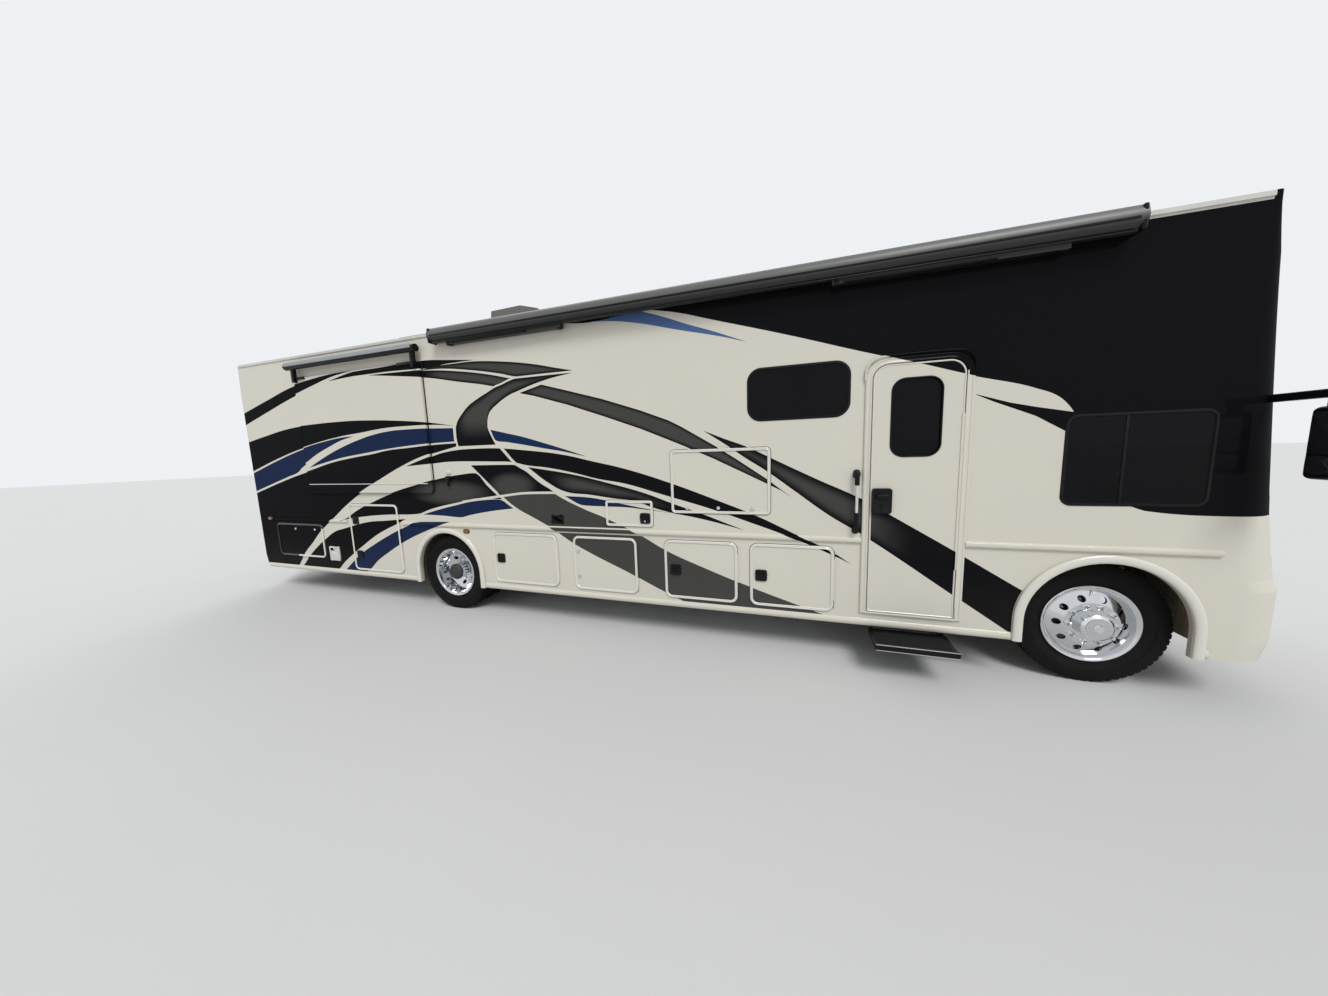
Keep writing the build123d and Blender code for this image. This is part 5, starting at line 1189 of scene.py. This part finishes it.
class MOTORHOME_OT_wheels(bpy.types.Operator):
    """Adds grooved tyres, tread blocks, nuts, hub caps and valves"""

    bl_idname = "motorhome.wheels"
    bl_label = "Wheels"

    def execute(self, context):
        settings = context.scene.motorhome_wheels
        for side in (RIGHT, LEFT):
            tag = SIDE_NAMES[side]
            front, rear = (abs(middle(f"{name}_{tag}").y) for name in ("front_tyre", "rear_tyres"))
            twins = [rear + TWIN_GAP / 2, rear - TWIN_GAP / 2]
            self.wheel(f"front_wheel_{tag}", f"front_tyre_{tag}", f"front_rim_{tag}", side, [front], settings)
            self.wheel(f"rear_wheels_{tag}", f"rear_tyres_{tag}", f"rear_rims_{tag}", side, twins, settings)
        return {"FINISHED"}

    def wheel(self, body, tyre_node, rim_node, side, middles, settings):
        front = "front" in body
        centre = Vector((front_axle_x if front else rear_axle_x, 0, axle_height))
        axis = (0, side, 0)
        tyres = []
        for place in middles:
            hub = centre + Vector((0, side * place, 0))
            tyres += [tyre(hub, side, settings), *tread_blocks(hub)]
        whole = dress(f"{body}_tread", tyres, "tyre_rubber", body, 40)
        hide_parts(tyre_node)
        face = middles[0] + NUT_SEAT["front" if front else "rear"]
        nut = settings.nut
        pattern = lathe([(0, 0), (0, nut + 0.004), (0.004, nut + 0.004), (0.006, nut), (0.030, nut * 0.95),
                         (0.038, nut * 0.6), (0.040, 0)], (0, 0, 0), axis, 6)
        angles = [2 * math.pi * index / settings.nuts for index in range(settings.nuts)]
        studs = [Vector((math.cos(angle) * STUD_CIRCLE, side * face, math.sin(angle) * STUD_CIRCLE))
                 for angle in angles]
        nuts = copies(pattern, [centre + stud for stud in studs])
        dress(f"{body}_nuts", nuts, "bright_trim", body)
        outer = max(abs(corner.y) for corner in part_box(rim_node))
        cap = lathe([(0, 0.0955), (0.004, 0.0985), (0.012, 0.0985), (0.018, 0.090), (0.024, 0.084),
                     (0.028, 0.070), (0.029, 0.030), (0.034, 0.026), (0.034, 0.0)],
                    centre + Vector((0, side * (outer - CAP_DEPTH), 0)), axis, 64)
        dress(f"{body}_hub_cap", cap, "bright_trim" if front else "cast_parts", body)
        lip = lathe([(0.0, 0.2870), (0.004, 0.2985), (0.010, 0.3010), (0.013, 0.2975), (0.012, 0.2900),
                     (0.006, 0.2800), (-0.010, 0.2700), (-0.016, 0.2702), (0.0, 0.2870)],
                    centre + Vector((0, side * (middles[0] + LIP_OUT), 0)), axis, 96)
        dress(f"{body}_rim_lip", lip, "wheel_metal", body)
        stem = middles[0] + VALVE_OUT
        valve = tube([centre + Vector((0, side * (stem + out), height))
                      for out, height in ((0.0, 0.262), (0.02, 0.245), (0.045, 0.236))], 0.004)
        dress(f"{body}_valve", valve, "bright_trim", body)


CASE_RAIL = 3.214  # underside of the awning case's front rail
CASE_GUTTER = 3.146
AWNING_ARMS = ((0.380, 1.830), (4.280, 5.730))  # rear and front end of each folded arm
ARM_OUT, ARM_FRONT = 0.06, 0.094  # arms' pivots and their front rods off the wall
FASCIA = (3.136, 3.181)  # heights of the light strip on a topper's front
ROLL_OUT, ROLL_RISE = 0.048, 0.140  # a topper's roll off the room's face and over its top


class MOTORHOME_OT_awnings(bpy.types.Operator):
    """Adds the awning's end caps, rails and arms, and the toppers' covers"""

    bl_idname = "motorhome.awnings"
    bl_label = "Awning and toppers"

    def execute(self, context):
        self.awning()
        for name, body, side, rear, front, bottom, top in ROOMS:
            self.topper(name, body, side, top)
        return {"FINISHED"}

    def awning(self):
        low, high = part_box("awning")
        rear, front, out = low.x + 0.04, high.x - 0.04, low.y
        parts = [
            block((rear, out - 0.001, CASE_RAIL), (front, out + 0.010, CASE_RAIL + 0.018), 0.003),
            block((rear, out + 0.02, CASE_GUTTER), (front, out + 0.032, CASE_GUTTER + 0.010), 0.002),
        ]
        for end, inner in ((low.x, low.x + 0.03), (high.x, high.x - 0.03)):
            parts.append(block((end, out + 0.004, low.z + 0.030), (inner, high.y - 0.004, high.z - 0.012),
                               0.02, 4))
        dress("awning_rails", parts, "awning_black")
        arms = []
        for rear, front in AWNING_ARMS:
            for place, radius in ((rear + 0.03, 0.036), (front - 0.03, 0.030)):
                arms.append(rod(spot(place, ARM_OUT, 3.108), spot(place, ARM_OUT, 3.172), radius, 24, 0.004))
            arms.append(rod(spot(rear + 0.08, ARM_FRONT, 3.128), spot(front - 0.4, ARM_FRONT, 3.128),
                            0.009, 12))
        dress("awning_arms", arms, "awning_black")

    def topper(self, name, body, side, top):
        """Roll, hood, front strip, feet and arms of a slide-out room's cover."""
        low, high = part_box(f"{name}_slide_topper")
        roll, height, length = across(ROOM_FACE + ROLL_OUT, side), top + ROLL_RISE, high.x - low.x
        end = [(0.0, 0.0), (0.0, 0.036), (0.004, 0.0425), (0.030, 0.0425), (0.032, 0.0405)]
        other = [(length - along, out) for along, out in reversed(end)]
        cover = lathe(end + other, (low.x, roll, height), (1, 0, 0), 32)
        dress(f"{name}_topper_roll", cover, "awning_black", body)
        hood = block((low.x + 0.03, across(0.036, side), height + 0.034),
                     (high.x - 0.03, roll, height + 0.040), 0.002)
        dress(f"{name}_topper_hood", hood, "cooler_shell", body)
        fascia = block((low.x + 0.03, roll + side * 0.0432, FASCIA[0]),
                       (high.x - 0.03, roll + side * 0.0470, FASCIA[1]), 0.0015)
        dress(f"{name}_topper_fascia", fascia, "grey_vinyl", body)
        wall, front = across(0.0345, side), across(0.056, side)
        arms = [block((start, wall, top - 0.024), (stop, front, top + 0.010), 0.006, 2)
                for start, stop in ((low.x + 0.06, low.x + 0.26), (high.x - 0.36, high.x - 0.06))]
        for x in (low.x + 0.09, high.x - 0.09):
            arms.append(block((x - 0.024, wall, top - 0.02), (x + 0.024, roll, height + 0.02), 0.008, 3))
        dress(f"{name}_topper_arms", arms, "awning_black", body)


# Louvres of the air conditioner: rear and front end, lowest one's height, spacing
SIDE_SLATS = (0.30, 0.84, 3.47, 0.026)
# Roof vents' lids: rear, front, width, height
VENT_LIDS = ((-1.66, -0.90, 0.74, 3.68), (3.44, 4.20, 0.74, 3.69), (1.90, 2.26, 0.36, 3.50))


class MOTORHOME_OT_roof(bpy.types.Operator):
    """Adds the air conditioner's louvres and the vents' lids"""

    bl_idname = "motorhome.roof"
    bl_label = "Roof units"

    def execute(self, context):
        slats = []
        rear, front, lowest, spacing = SIDE_SLATS
        for side in (RIGHT, LEFT):
            for index in range(9):
                height = lowest + index * spacing
                slats.append(block((ahead(rear), side * 0.371, height),
                                   (ahead(front), side * 0.365, height + 0.012), 0.002, 1))
        for index in range(11):
            y = -0.26 + index * 0.052
            slats.append(block((ahead(0.122), y, 3.45), (ahead(0.175), y + 0.012, 3.70), 0.003, 1))
        dress("cooler_slats", slats, "dark_plastic")
        seam = block((ahead(0.135), -0.374, 3.425), (ahead(0.985), 0.374, 3.438), 0.003)
        dress("cooler_seam", seam, "cooler_shell")
        lids = [plate((ahead((rear + front) / 2), 0, top - 0.004), (front - rear) * 0.8, width * 0.8, 0.05,
                      [(0.004, 0.003), (0.03, -0.002), (0.03, 0.002)], "up")
                for rear, front, width, top in VENT_LIDS]
        dress("vent_lids", lids, "dark_plastic")
        return {"FINISHED"}


def small_lamp(point, normal, size):
    """Base and domed lens of a lamp that stands on the body."""
    base = lathe([(-0.004, 0.0), (-0.004, size * 1.15), (0.006, size * 1.12), (0.009, size), (0.009, 0.0)],
                 point, normal, 24)
    dome = lathe([(0.008, 0.0), (0.008, size * 0.96), (0.018, size * 0.85), (0.026, size * 0.5),
                  (0.028, 0.0)], point, normal, 24)
    return base, dome


# Headlamp bowls: place across, radius
BOWLS = ((0.80, 0.066), (0.93, 0.066), (1.05, 0.045))
BOWL_HEIGHT, BOWL_DEPTH = 0.97, 0.085  # above the ground, behind the lens
CLEARANCE_LAMPS = (-0.95, -0.28, 0.0, 0.28, 0.95)
FRONT, REAR = 1, -1
# Clearance lamps: direction, finish, height. Plates: direction, node that each is on, height
LAMP_ROWS = {"front": (FRONT, "amber_lens", 3.215), "rear": (REAR, "tail_lens", 3.10)}
PLATES = {"front": (FRONT, "front_bumper", 0.52), "rear": (REAR, "rear_cap", 0.86)}
# Grille mesh: half its width, bottom, top, wires' thickness, spacing across and up
MESH = (0.52, 0.935, 1.145, 0.003, 0.0231, 0.0245)


class MOTORHOME_OT_front(bpy.types.Operator):
    """Adds headlamp bowls, wipers, mirrors and grille mesh, and both ends' small lamps and plates"""

    bl_idname = "motorhome.front"
    bl_label = "Front"

    def execute(self, context):
        self.headlamps()
        for end, row in LAMP_ROWS.items():
            self.lamps(end, *row)
        self.wipers()
        self.mirrors()
        self.grille()
        for end, place in PLATES.items():
            self.plate(end, *place)
        return {"FINISHED"}

    def headlamps(self):
        bowls, bulbs = [], []
        for side in (RIGHT, LEFT):
            for place, size in BOWLS:
                centre = end_surface("headlamps", side * place, BOWL_HEIGHT)[0] - Vector((BOWL_DEPTH, 0, 0))
                bowls.append(lathe([
                    (-0.030, 0.0), (-0.030, 0.012), (-0.026, 0.020), (-0.010, size * 0.72),
                    (0.012, size * 0.95), (0.020, size), (0.016, size * 1.04), (-0.014, size * 0.8),
                    (-0.034, 0.022), (-0.036, 0.0)],
                    centre, (1, 0, 0), 32))
                bulbs.append(lathe([(-0.026, 0.0), (-0.026, 0.010), (0.0, 0.010), (0.010, 0.006),
                                    (0.012, 0.0)], centre, (1, 0, 0), 16))
        dress("headlamp_bowls", bowls, "bright_trim")
        dress("headlamp_bulbs", bulbs, "white_plastic")

    def lamps(self, end, sign, finish, height):
        pairs = [small_lamp(*end_surface(f"{end}_cap", place, height, sign), 0.022)
                 for place in CLEARANCE_LAMPS]
        bases, domes = zip(*pairs)
        dress(f"{end}_clearance_bases", bases, "dark_plastic")
        dress(f"{end}_clearance_lenses", domes, finish)

    def wipers(self):
        def off(point, distance):
            return point + Vector((distance, 0, 0))

        parts = []
        for side in (RIGHT, LEFT):
            pivot = end_surface("front_cap", side * 0.42, 1.355)[0]
            knee = end_surface("windshield", side * 0.62, 1.62)[0]
            tip = end_surface("windshield", side * 0.72, 1.86)[0]
            line = [end_surface("windshield", side * (0.36 + step * 0.135), 1.50 + step * 0.095)[0]
                    for step in range(6)]
            parts.append(rod(off(pivot, -0.01), off(pivot, 0.035), 0.018, 20, 0.003))
            parts.append(tube([off(pivot, 0.03), off((pivot + knee) / 2, 0.045), off(knee, 0.03),
                               off(tip, 0.016)], 0.006))
            parts.append(tube([off(point, 0.010) for point in line], 0.006))
        dress("wipers", parts, "dark_plastic")

    def mirrors(self):
        """Heads on stems and arms, each with a flat glass over a round one."""
        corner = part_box("mirrors")[1]
        back, half = corner.x - 0.235, 0.110
        heads, glasses = [], []
        for side in (RIGHT, LEFT):
            outer, y = side * corner.y, side * (corner.y - half)
            wall = surface("front_cap", (back + 0.150, side * 3.0, 2.08), (0, -side, 0))[0].y
            heads += [
                block((back + 0.145, outer, 1.59), (back + 0.235, outer - side * 2 * half, 2.01), 0.034, 5),
                block((back + 0.137, y - 0.028, 1.995), (back + 0.193, y + 0.028, 2.105), 0.014, 3),
                block((back + 0.120, wall + side * 0.0006, 2.055),
                      (back + 0.180, outer - side * 0.080, 2.105), 0.018, 4),
            ]
            x = back + 0.1445
            glasses += [
                plate((x, y, 1.86), 0.176, 0.240, 0.025, [(0.002, 0.001)], "rear"),
                plate((x, y, 1.675), 0.176, 0.105, 0.025, [(0.002, 0.001), (0.02, 0.003)], "rear"),
            ]
        heads = dress("mirror_housings", heads, "awning_black", "coach", 50)
        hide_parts("mirrors")
        dress("mirror_glasses", glasses, "mirror")

    def grille(self):
        """Square mesh of thin wires behind the grille's bars."""
        half, bottom, top, thick, spacing, rise = MESH
        x = end_surface("grille", 0.0, (bottom + top) / 2)[0].x - 0.075
        wires = []
        for index in range(46):
            y = -half + index * spacing
            wires.append(block((x, y, bottom), (x + thick, y + thick, top), 0.0))
        for index in range(9):
            z = bottom + 0.005 + index * rise
            wires.append(block((x + thick, -half, z), (x + 2 * thick, half, z + thick), 0.0))
        dress("grille_mesh", wires, "dark_plastic")

    def plate(self, end, sign, node, height):
        """Blank number plate."""
        x = end_surface(node, 0.0, height, sign)[0].x - sign * 0.001
        blank = plate((x, 0, height), 0.305, 0.152, 0.012,
                      [(0.001, 0.002), (0.006, 0.0006), (0.003, -0.0006)], end)
        dress(f"{end}_plate", blank, "white_plastic")


LADDER_STEPS, LOWEST_STEP, STEP_RISE = 8, 1.100, 0.300
TAIL_LAMPS = (1.24, 1.375, 1.51)  # heights of the round lamps
TAIL_LAMP_PLACE = 1.05  # across the body
CHAIN_LOOP = (-5.40, 0.034, 0.312)  # end of a loop on the receiver


class MOTORHOME_OT_rear(bpy.types.Operator):
    """Adds tail lamp lenses, the ladder's treads and the receiver's chain loops"""

    bl_idname = "motorhome.rear"
    bl_label = "Rear"

    def execute(self, context):
        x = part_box("ladder")[0].x
        treads = []
        for step in range(LADDER_STEPS):
            height = LOWEST_STEP + step * STEP_RISE
            treads.append(block((x + 0.0005, 0.585, height + 0.004), (x + 0.0265, 0.935, height + 0.0145),
                                0.003))
        dress("ladder_treads", treads, "dark_plastic")
        lenses, rings, loops = [], [], []
        for side in (RIGHT, LEFT):
            for height in TAIL_LAMPS:
                point, normal = end_surface("tail_lamps", side * TAIL_LAMP_PLACE, height, REAR)
                rings.append(lathe([(-0.004, 0.058), (0.004, 0.058), (0.006, 0.054), (0.004, 0.050),
                                    (-0.004, 0.050), (-0.004, 0.058)], point, normal, 40))
                lenses.append(lathe([(0.0, 0.0), (0.0, 0.049), (0.006, 0.046), (0.011, 0.030), (0.013, 0.0)],
                                    point, normal, 40))
        dress("tail_lamp_rings", rings, "bright_trim")
        dress("tail_lamp_lenses", lenses, "tail_lens")
        turns = ((0, 0, 0), (-0.03, 0.004, -0.004), (-0.045, 0.030, -0.010), (-0.01, 0.046, -0.010),
                 (0.03, 0.030, -0.004), (0.035, 0, 0))
        for side in (RIGHT, LEFT):
            start = Vector(CHAIN_LOOP) * Vector((1, side, 1))
            loops.append(tube([start + Vector((along, side * out, up)) for along, out, up in turns], 0.006))
        dress("chain_loops", loops, "chassis_black")
        return {"FINISHED"}


# Side marker lamps: place, height, out from the wall
MARKERS = ((0.315, 1.010, 0.0), (-3.35, 1.085, 0.016))
INLET = -2.055  # place of the water inlet
RAIL_HEIGHT = 1.080
ARCH_FOOT = 0.3365  # height of the arch moulding's ends
ARCH_STEPS = 24


class MOTORHOME_OT_small_parts(bpy.types.Operator):
    """Adds the side markers, water inlet, wall vent, hook, rub rails and wheel arches' mouldings"""

    bl_idname = "motorhome.small_parts"
    bl_label = "Small parts"

    def execute(self, context):
        self.markers()
        self.wall_fittings()
        for side, runs in RUB_RAILS.items():
            rails = [rod((ahead(rear) + 0.001, 0, RAIL_HEIGHT), (ahead(front) - 0.001, 0, RAIL_HEIGHT),
                         0.021, 24) for rear, front in runs]
            self.moulding(f"rub_rail_{SIDE_NAMES[side]}", rails, side, 0.013, 0.45, "edge_paint")
            arches = [self.arch(axle) for axle in (rear_axle_x, front_axle_x)]
            self.moulding(f"arch_mouldings_{SIDE_NAMES[side]}", arches, side, 0.019, 0.4, "cream_trim")
        hinge = rod(spot(5.228, 0.020, 0.56), spot(5.228, 0.020, 2.40), 0.0046, 12)
        dress("entry_hinge_cover", hinge, "cream_trim")
        return {"FINISHED"}

    def markers(self):
        bases, lenses = [], []
        for side in (RIGHT, LEFT):
            for place, height, out in MARKERS:
                bases.append(plate(spot(place, out, height, side), 0.100, 0.054, 0.024,
                                   [(0.002, 0.004), (0.004, 0.001)], SIDE_NAMES[side], corner=8))
                lenses.append(plate(spot(place, out + 0.004, height, side), 0.086, 0.042, 0.020,
                                    [(0.003, 0.006), (0.008, 0.003)], SIDE_NAMES[side], corner=8))
        dress("marker_bases", bases, "dark_plastic")
        dress("side_markers", lenses, "amber_lens")

    def wall_fittings(self):
        inlet = [
            plate(spot(INLET, 0, 0.616), 0.200, 0.200, 0.014,
                  [(0.002, 0.012), (0.016, 0.002), (0.004, -0.006)]),
            plate(spot(INLET, 0.006, 0.598), 0.146, 0.118, 0.010, [(0.002, 0.008), (0.010, 0.002)]),
            rod(spot(INLET, 0.010, 0.684), spot(INLET, 0.017, 0.684), 0.012, 20, 0.002),
        ]
        dress("water_inlet", inlet, "white_plastic")
        vent = [plate(spot(1.590, 0, 1.184), 0.147, 0.089, 0.010,
                      [(0.002, 0.006), (0.008, 0.001), (0.003, -0.005)])]
        for index in range(3):
            height = 1.160 + index * 0.019
            vent.append(block(spot(1.532, 0.0055, height), spot(1.648, 0.001, height + 0.004), 0.001, 1))
        dress("wall_vent", vent, "awning_black")
        foot = plate(spot(0.140, 0, 1.716), 0.072, 0.042, 0.010, [(0.002, 0.010), (0.004, 0.002)])
        dress("hook_foot", foot, "cream_trim")
        bend = ((0.142, 0.022, 1.640), (0.142, 0.034, 1.610), (0.140, 0.036, 1.580), (0.136, 0.022, 1.560))
        hook = [block(spot(0.112, 0.044, 1.622), spot(0.172, 0.0005, 1.672), 0.012, 3),
                tube([spot(*place) for place in bend], 0.013)]
        dress("wall_hook", hook, "dark_plastic")

    def arch(self, axle):
        line = [(axle - ARCH_MIDDLE, 0, ARCH_FOOT)]
        for index in range(ARCH_STEPS + 1):
            angle = math.pi * (1 - index / ARCH_STEPS)
            along, up = math.cos(angle) * ARCH_MIDDLE, math.sin(angle) * ARCH_MIDDLE
            line.append((axle + along, 0, ARCH_CENTRE + up))
        line.append((axle + ARCH_MIDDLE, 0, ARCH_FOOT))
        return tube(line, 0.031, 5, False)

    def moulding(self, name, parts, side, out, flatness, finish):
        """Flattens round bars and lays them on a side of the body."""
        item = join(name, parts)
        flatten = Matrix.Diagonal((1, flatness, 1, 1))
        item.data.transform(Matrix.Translation((0, across(out, side), 0)) @ flatten)
        dress(name, item, finish, "coach", 50)


CAB_FLOOR = 1.100
SEAT_PLACE = 0.620  # middle of a cab seat, across the body
SEAT_HALF_LENGTH = 0.280
SEAT_HINGE = (-0.22, 0, 0.42)  # of the backrest, from the middle of the seat's foot
BACK_LEAN = math.radians(-11.5)
# A seat's cushions from the middle of its foot: corners, crown, whether it leans with the backrest
CUSHIONS = (
    ((-0.275, -0.275, 0.265), (0.275, 0.275, 0.418), 0.10, False),
    ((-0.285, -0.255, 0.405), (-0.155, 0.255, 0.93), 0.10, True),
    ((-0.275, -0.14, 0.945), (-0.175, 0.14, 1.10), 0.12, True),
)
CUSHION_PRESSURE = 4.0
CUSHION_LIMIT = 0.012


def inflated(item, pressure, limit, steps=20):
    """Blows a closed piece up as cloth, moving no point by more than a limit."""
    start = [vertex.co.copy() for vertex in item.data.vertices]
    cloth = item.modifiers.new("Cloth", "CLOTH")
    cloth.settings.use_pressure = True
    cloth.settings.uniform_pressure_force = pressure
    cloth.settings.effector_weights.gravity = 0.0
    cloth.point_cache.frame_start = 1
    cloth.point_cache.frame_end = steps
    for step in range(1, steps + 1):
        bpy.context.scene.frame_set(step)
    pick(item)
    bpy.ops.object.modifier_apply(modifier=cloth.name)
    bpy.context.scene.frame_set(1)
    for vertex, place in zip(item.data.vertices, start):
        move = vertex.co - place
        if move.length > limit:
            vertex.co = place + move * (limit / move.length)


def cushion(low, high, crown, turn=None):
    """Padded cushion: a box cut into squares, its edges drawn in, then blown up as cloth."""
    low, high = Vector(low), Vector(high)
    centre, half = (low + high) / 2, (high - low) / 2
    item = block(low, high, 0.0)
    with editing(item):
        bpy.ops.mesh.subdivide(number_cuts=9)
    for vertex in item.data.vertices:
        share = [(vertex.co[axis] - centre[axis]) / half[axis] for axis in range(3)]
        for axis in range(3):
            others = [share[other] for other in range(3) if other != axis]
            swell = (1 - others[0] ** 4) * (1 - others[1] ** 4)
            pull = 1 - 0.10 * (abs(others[0]) ** 6 + abs(others[1]) ** 6) / 2
            vertex.co[axis] = centre[axis] + share[axis] * half[axis] * (pull - crown + crown * swell)
    inflated(item, CUSHION_PRESSURE, CUSHION_LIMIT)
    modified(item, "SUBSURF", levels=1, render_levels=1)
    if turn:
        item.data.transform(turn)
    return item


class MOTORHOME_OT_seats(bpy.types.Operator):
    """Replaces the plain cab seats with padded ones on pedestals, and adds the dash hood"""

    bl_idname = "motorhome.seats"
    bl_label = "Cab seats"

    def execute(self, context):
        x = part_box("cab_seats")[1].x - SEAT_HALF_LENGTH
        pads, seams, stands = [], [], []
        for side in (RIGHT, LEFT):
            foot = (x, side * SEAT_PLACE, CAB_FLOOR)
            pivot = beyond(foot, *SEAT_HINGE)
            lean_back = Matrix.Rotation(BACK_LEAN, 4, "Y")
            turn = Matrix.Translation(pivot) @ lean_back @ Matrix.Translation(-pivot)
            for low, high, crown, leans in CUSHIONS:
                pads.append(cushion(beyond(foot, *low), beyond(foot, *high), crown, turn if leans else None))
            for level in (0.62, 0.78):
                line = ((-0.149, -0.21, level), (-0.146, 0, level), (-0.149, 0.21, level))
                seams.append(tube([turn @ beyond(foot, *place) for place in line], 0.004))
            stands.append(lathe([(0.0, 0.0), (0.0, 0.089), (0.012, 0.089), (0.020, 0.070), (0.20, 0.060),
                                 (0.225, 0.085), (0.262, 0.088), (0.262, 0.0)],
                                beyond(foot, 0, 0, 0.001), (0, 0, 1), 32))
            stands.append(block(beyond(foot, -0.24, -0.20, 0.245), beyond(foot, 0.24, 0.20, 0.270), 0.006))
        seats = dress("padded_seats", pads, "seat_cloth", "coach", 60)
        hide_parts("cab_seats")
        dress("seat_seams", seams, "binding")
        dress("seat_stands", stands, "chassis_black")
        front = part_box("dash")[1].x
        hood = block((front - 0.42, 0.36, 1.455), (front - 0.24, 0.80, 1.545), 0.03, 5)
        dress("instrument_hood", hood, "vinyl")
        return {"FINISHED"}


def stage_finish(name, colour):
    """Pale matt surface with a faint mottle."""
    graph = Finish(name)
    cloud = graph.noise(0.6, 4.0)
    graph.set(Base_Color=graph.mix(cloud, opaque(colour, 0.98), opaque(colour, 1.02)), Roughness=0.9)
    return graph.set(Specular_IOR_Level=0.1)


class MOTORHOME_OT_stage(bpy.types.Operator):
    """Adds the floor, the soft light and the camera"""

    bl_idname = "motorhome.stage"
    bl_label = "Stage"

    def execute(self, context):
        settings = context.scene.motorhome_stage
        bpy.ops.mesh.primitive_circle_add(vertices=96, radius=90.0, fill_type="NGON", location=(0, 0, -0.001))
        floor = settle(bpy.context.object)
        floor.name = "floor_plane"
        floor.data.materials.append(stage_finish("pale_floor", (0.60, 0.60, 0.59)).material)
        self.light("key_light", settings.sun, (0.35, -0.62, 0.85), 24)
        self.light("fill_light", settings.sun * 0.42, (-0.5, 0.75, 0.8), 50)
        self.world(settings.sky)
        self.camera(settings)
        context.scene.view_settings.view_transform = "Standard"
        return {"FINISHED"}

    def light(self, name, strength, toward, softness):
        lamp = bpy.data.lights.new(name, "SUN")
        lamp.energy = strength
        lamp.angle = math.radians(softness)
        item = bpy.data.objects.new(name, lamp)
        item.rotation_mode = "QUATERNION"
        item.rotation_quaternion = Vector(toward).to_track_quat("Z", "Y")
        item.location = Vector(toward) * 10
        bpy.context.collection.objects.link(item)

    def world(self, strength):
        """Soft light all round, which the camera and clear reflections see as a pale backdrop."""
        world = bpy.data.worlds.new("soft_light")
        world.use_nodes = True
        graph = Graph(world.node_tree)
        rays = graph.node("ShaderNodeLightPath").socket.node.outputs
        camera, glossy, through = (Value(graph, rays[f"Is {kind} Ray"])
                                   for kind in ("Camera", "Glossy", "Transmission"))
        ambient = graph.node("ShaderNodeBackground", ((0.93, 0.96, 1.0, 1.0), strength))
        backdrop = graph.node("ShaderNodeBackground", ((0.86, 0.88, 0.90, 1.0), 1.0))
        seen = camera.most(glossy.most(through))
        graph.node("ShaderNodeOutputWorld", (graph.node("ShaderNodeMixShader", (seen, ambient, backdrop)),))
        bpy.context.scene.world = world

    def camera(self, settings):
        """Camera from its place and its yaw, pitch and roll."""
        yaw, pitch, roll = -settings.yaw, settings.pitch, -settings.roll
        forward = Vector((math.sin(yaw) * math.cos(pitch), math.cos(yaw) * math.cos(pitch), -math.sin(pitch)))
        level_right = Vector((math.cos(yaw), -math.sin(yaw), 0))
        level_up = level_right.cross(forward)
        right = math.cos(roll) * level_right + math.sin(roll) * level_up
        up = -math.sin(roll) * level_right + math.cos(roll) * level_up
        data = bpy.data.cameras.new("camera")
        data.lens = settings.lens
        data.sensor_width = 36.0
        data.clip_end = 500.0
        item = bpy.data.objects.new("camera", data)
        bpy.context.collection.objects.link(item)
        axes = Matrix((right, up, -forward)).transposed().to_4x4()
        item.matrix_world = Matrix.Translation(settings.place) @ axes
        bpy.context.scene.camera = item


class MOTORHOME_PT_panel(bpy.types.Panel):
    """Lists the steps of the motorhome's finish"""

    bl_label = "Motorhome"
    bl_idname = "MOTORHOME_PT_panel"
    bl_space_type = "VIEW_3D"
    bl_region_type = "UI"
    bl_category = "Motorhome"

    def draw(self, context):
        for group in (context.scene.motorhome_paint, context.scene.motorhome_trim,
                      context.scene.motorhome_wheels, context.scene.motorhome_stage):
            box = self.layout.box()
            for name in group.bl_rna.properties.keys():
                if name not in ("rna_type", "name"):
                    box.prop(group, name)
        for step in STEPS:
            self.layout.operator(step.bl_idname)


GROUPS = {
    "motorhome_paint": MotorhomePaint, "motorhome_trim": MotorhomeTrim, "motorhome_wheels": MotorhomeWheels,
    "motorhome_stage": MotorhomeStage,
}
STEPS = (
    MOTORHOME_OT_finishes, MOTORHOME_OT_door_trim, MOTORHOME_OT_entry, MOTORHOME_OT_windows,
    MOTORHOME_OT_wheels, MOTORHOME_OT_awnings, MOTORHOME_OT_roof, MOTORHOME_OT_front, MOTORHOME_OT_rear,
    MOTORHOME_OT_small_parts, MOTORHOME_OT_seats, MOTORHOME_OT_stage,
)


def register():
    for kind in (*GROUPS.values(), *STEPS, MOTORHOME_PT_panel):
        bpy.utils.register_class(kind)
    for name, kind in GROUPS.items():
        setattr(bpy.types.Scene, name, PointerProperty(type=kind))


def unregister():
    for name in GROUPS:
        delattr(bpy.types.Scene, name)
    for kind in reversed((*GROUPS.values(), *STEPS, MOTORHOME_PT_panel)):
        bpy.utils.unregister_class(kind)


def main():
    """Runs every step in order."""
    register()
    deselect()
    for step in STEPS:
        group, name = step.bl_idname.split(".")
        getattr(getattr(bpy.ops, group), name)()


if __name__ == "__main__":
    main()
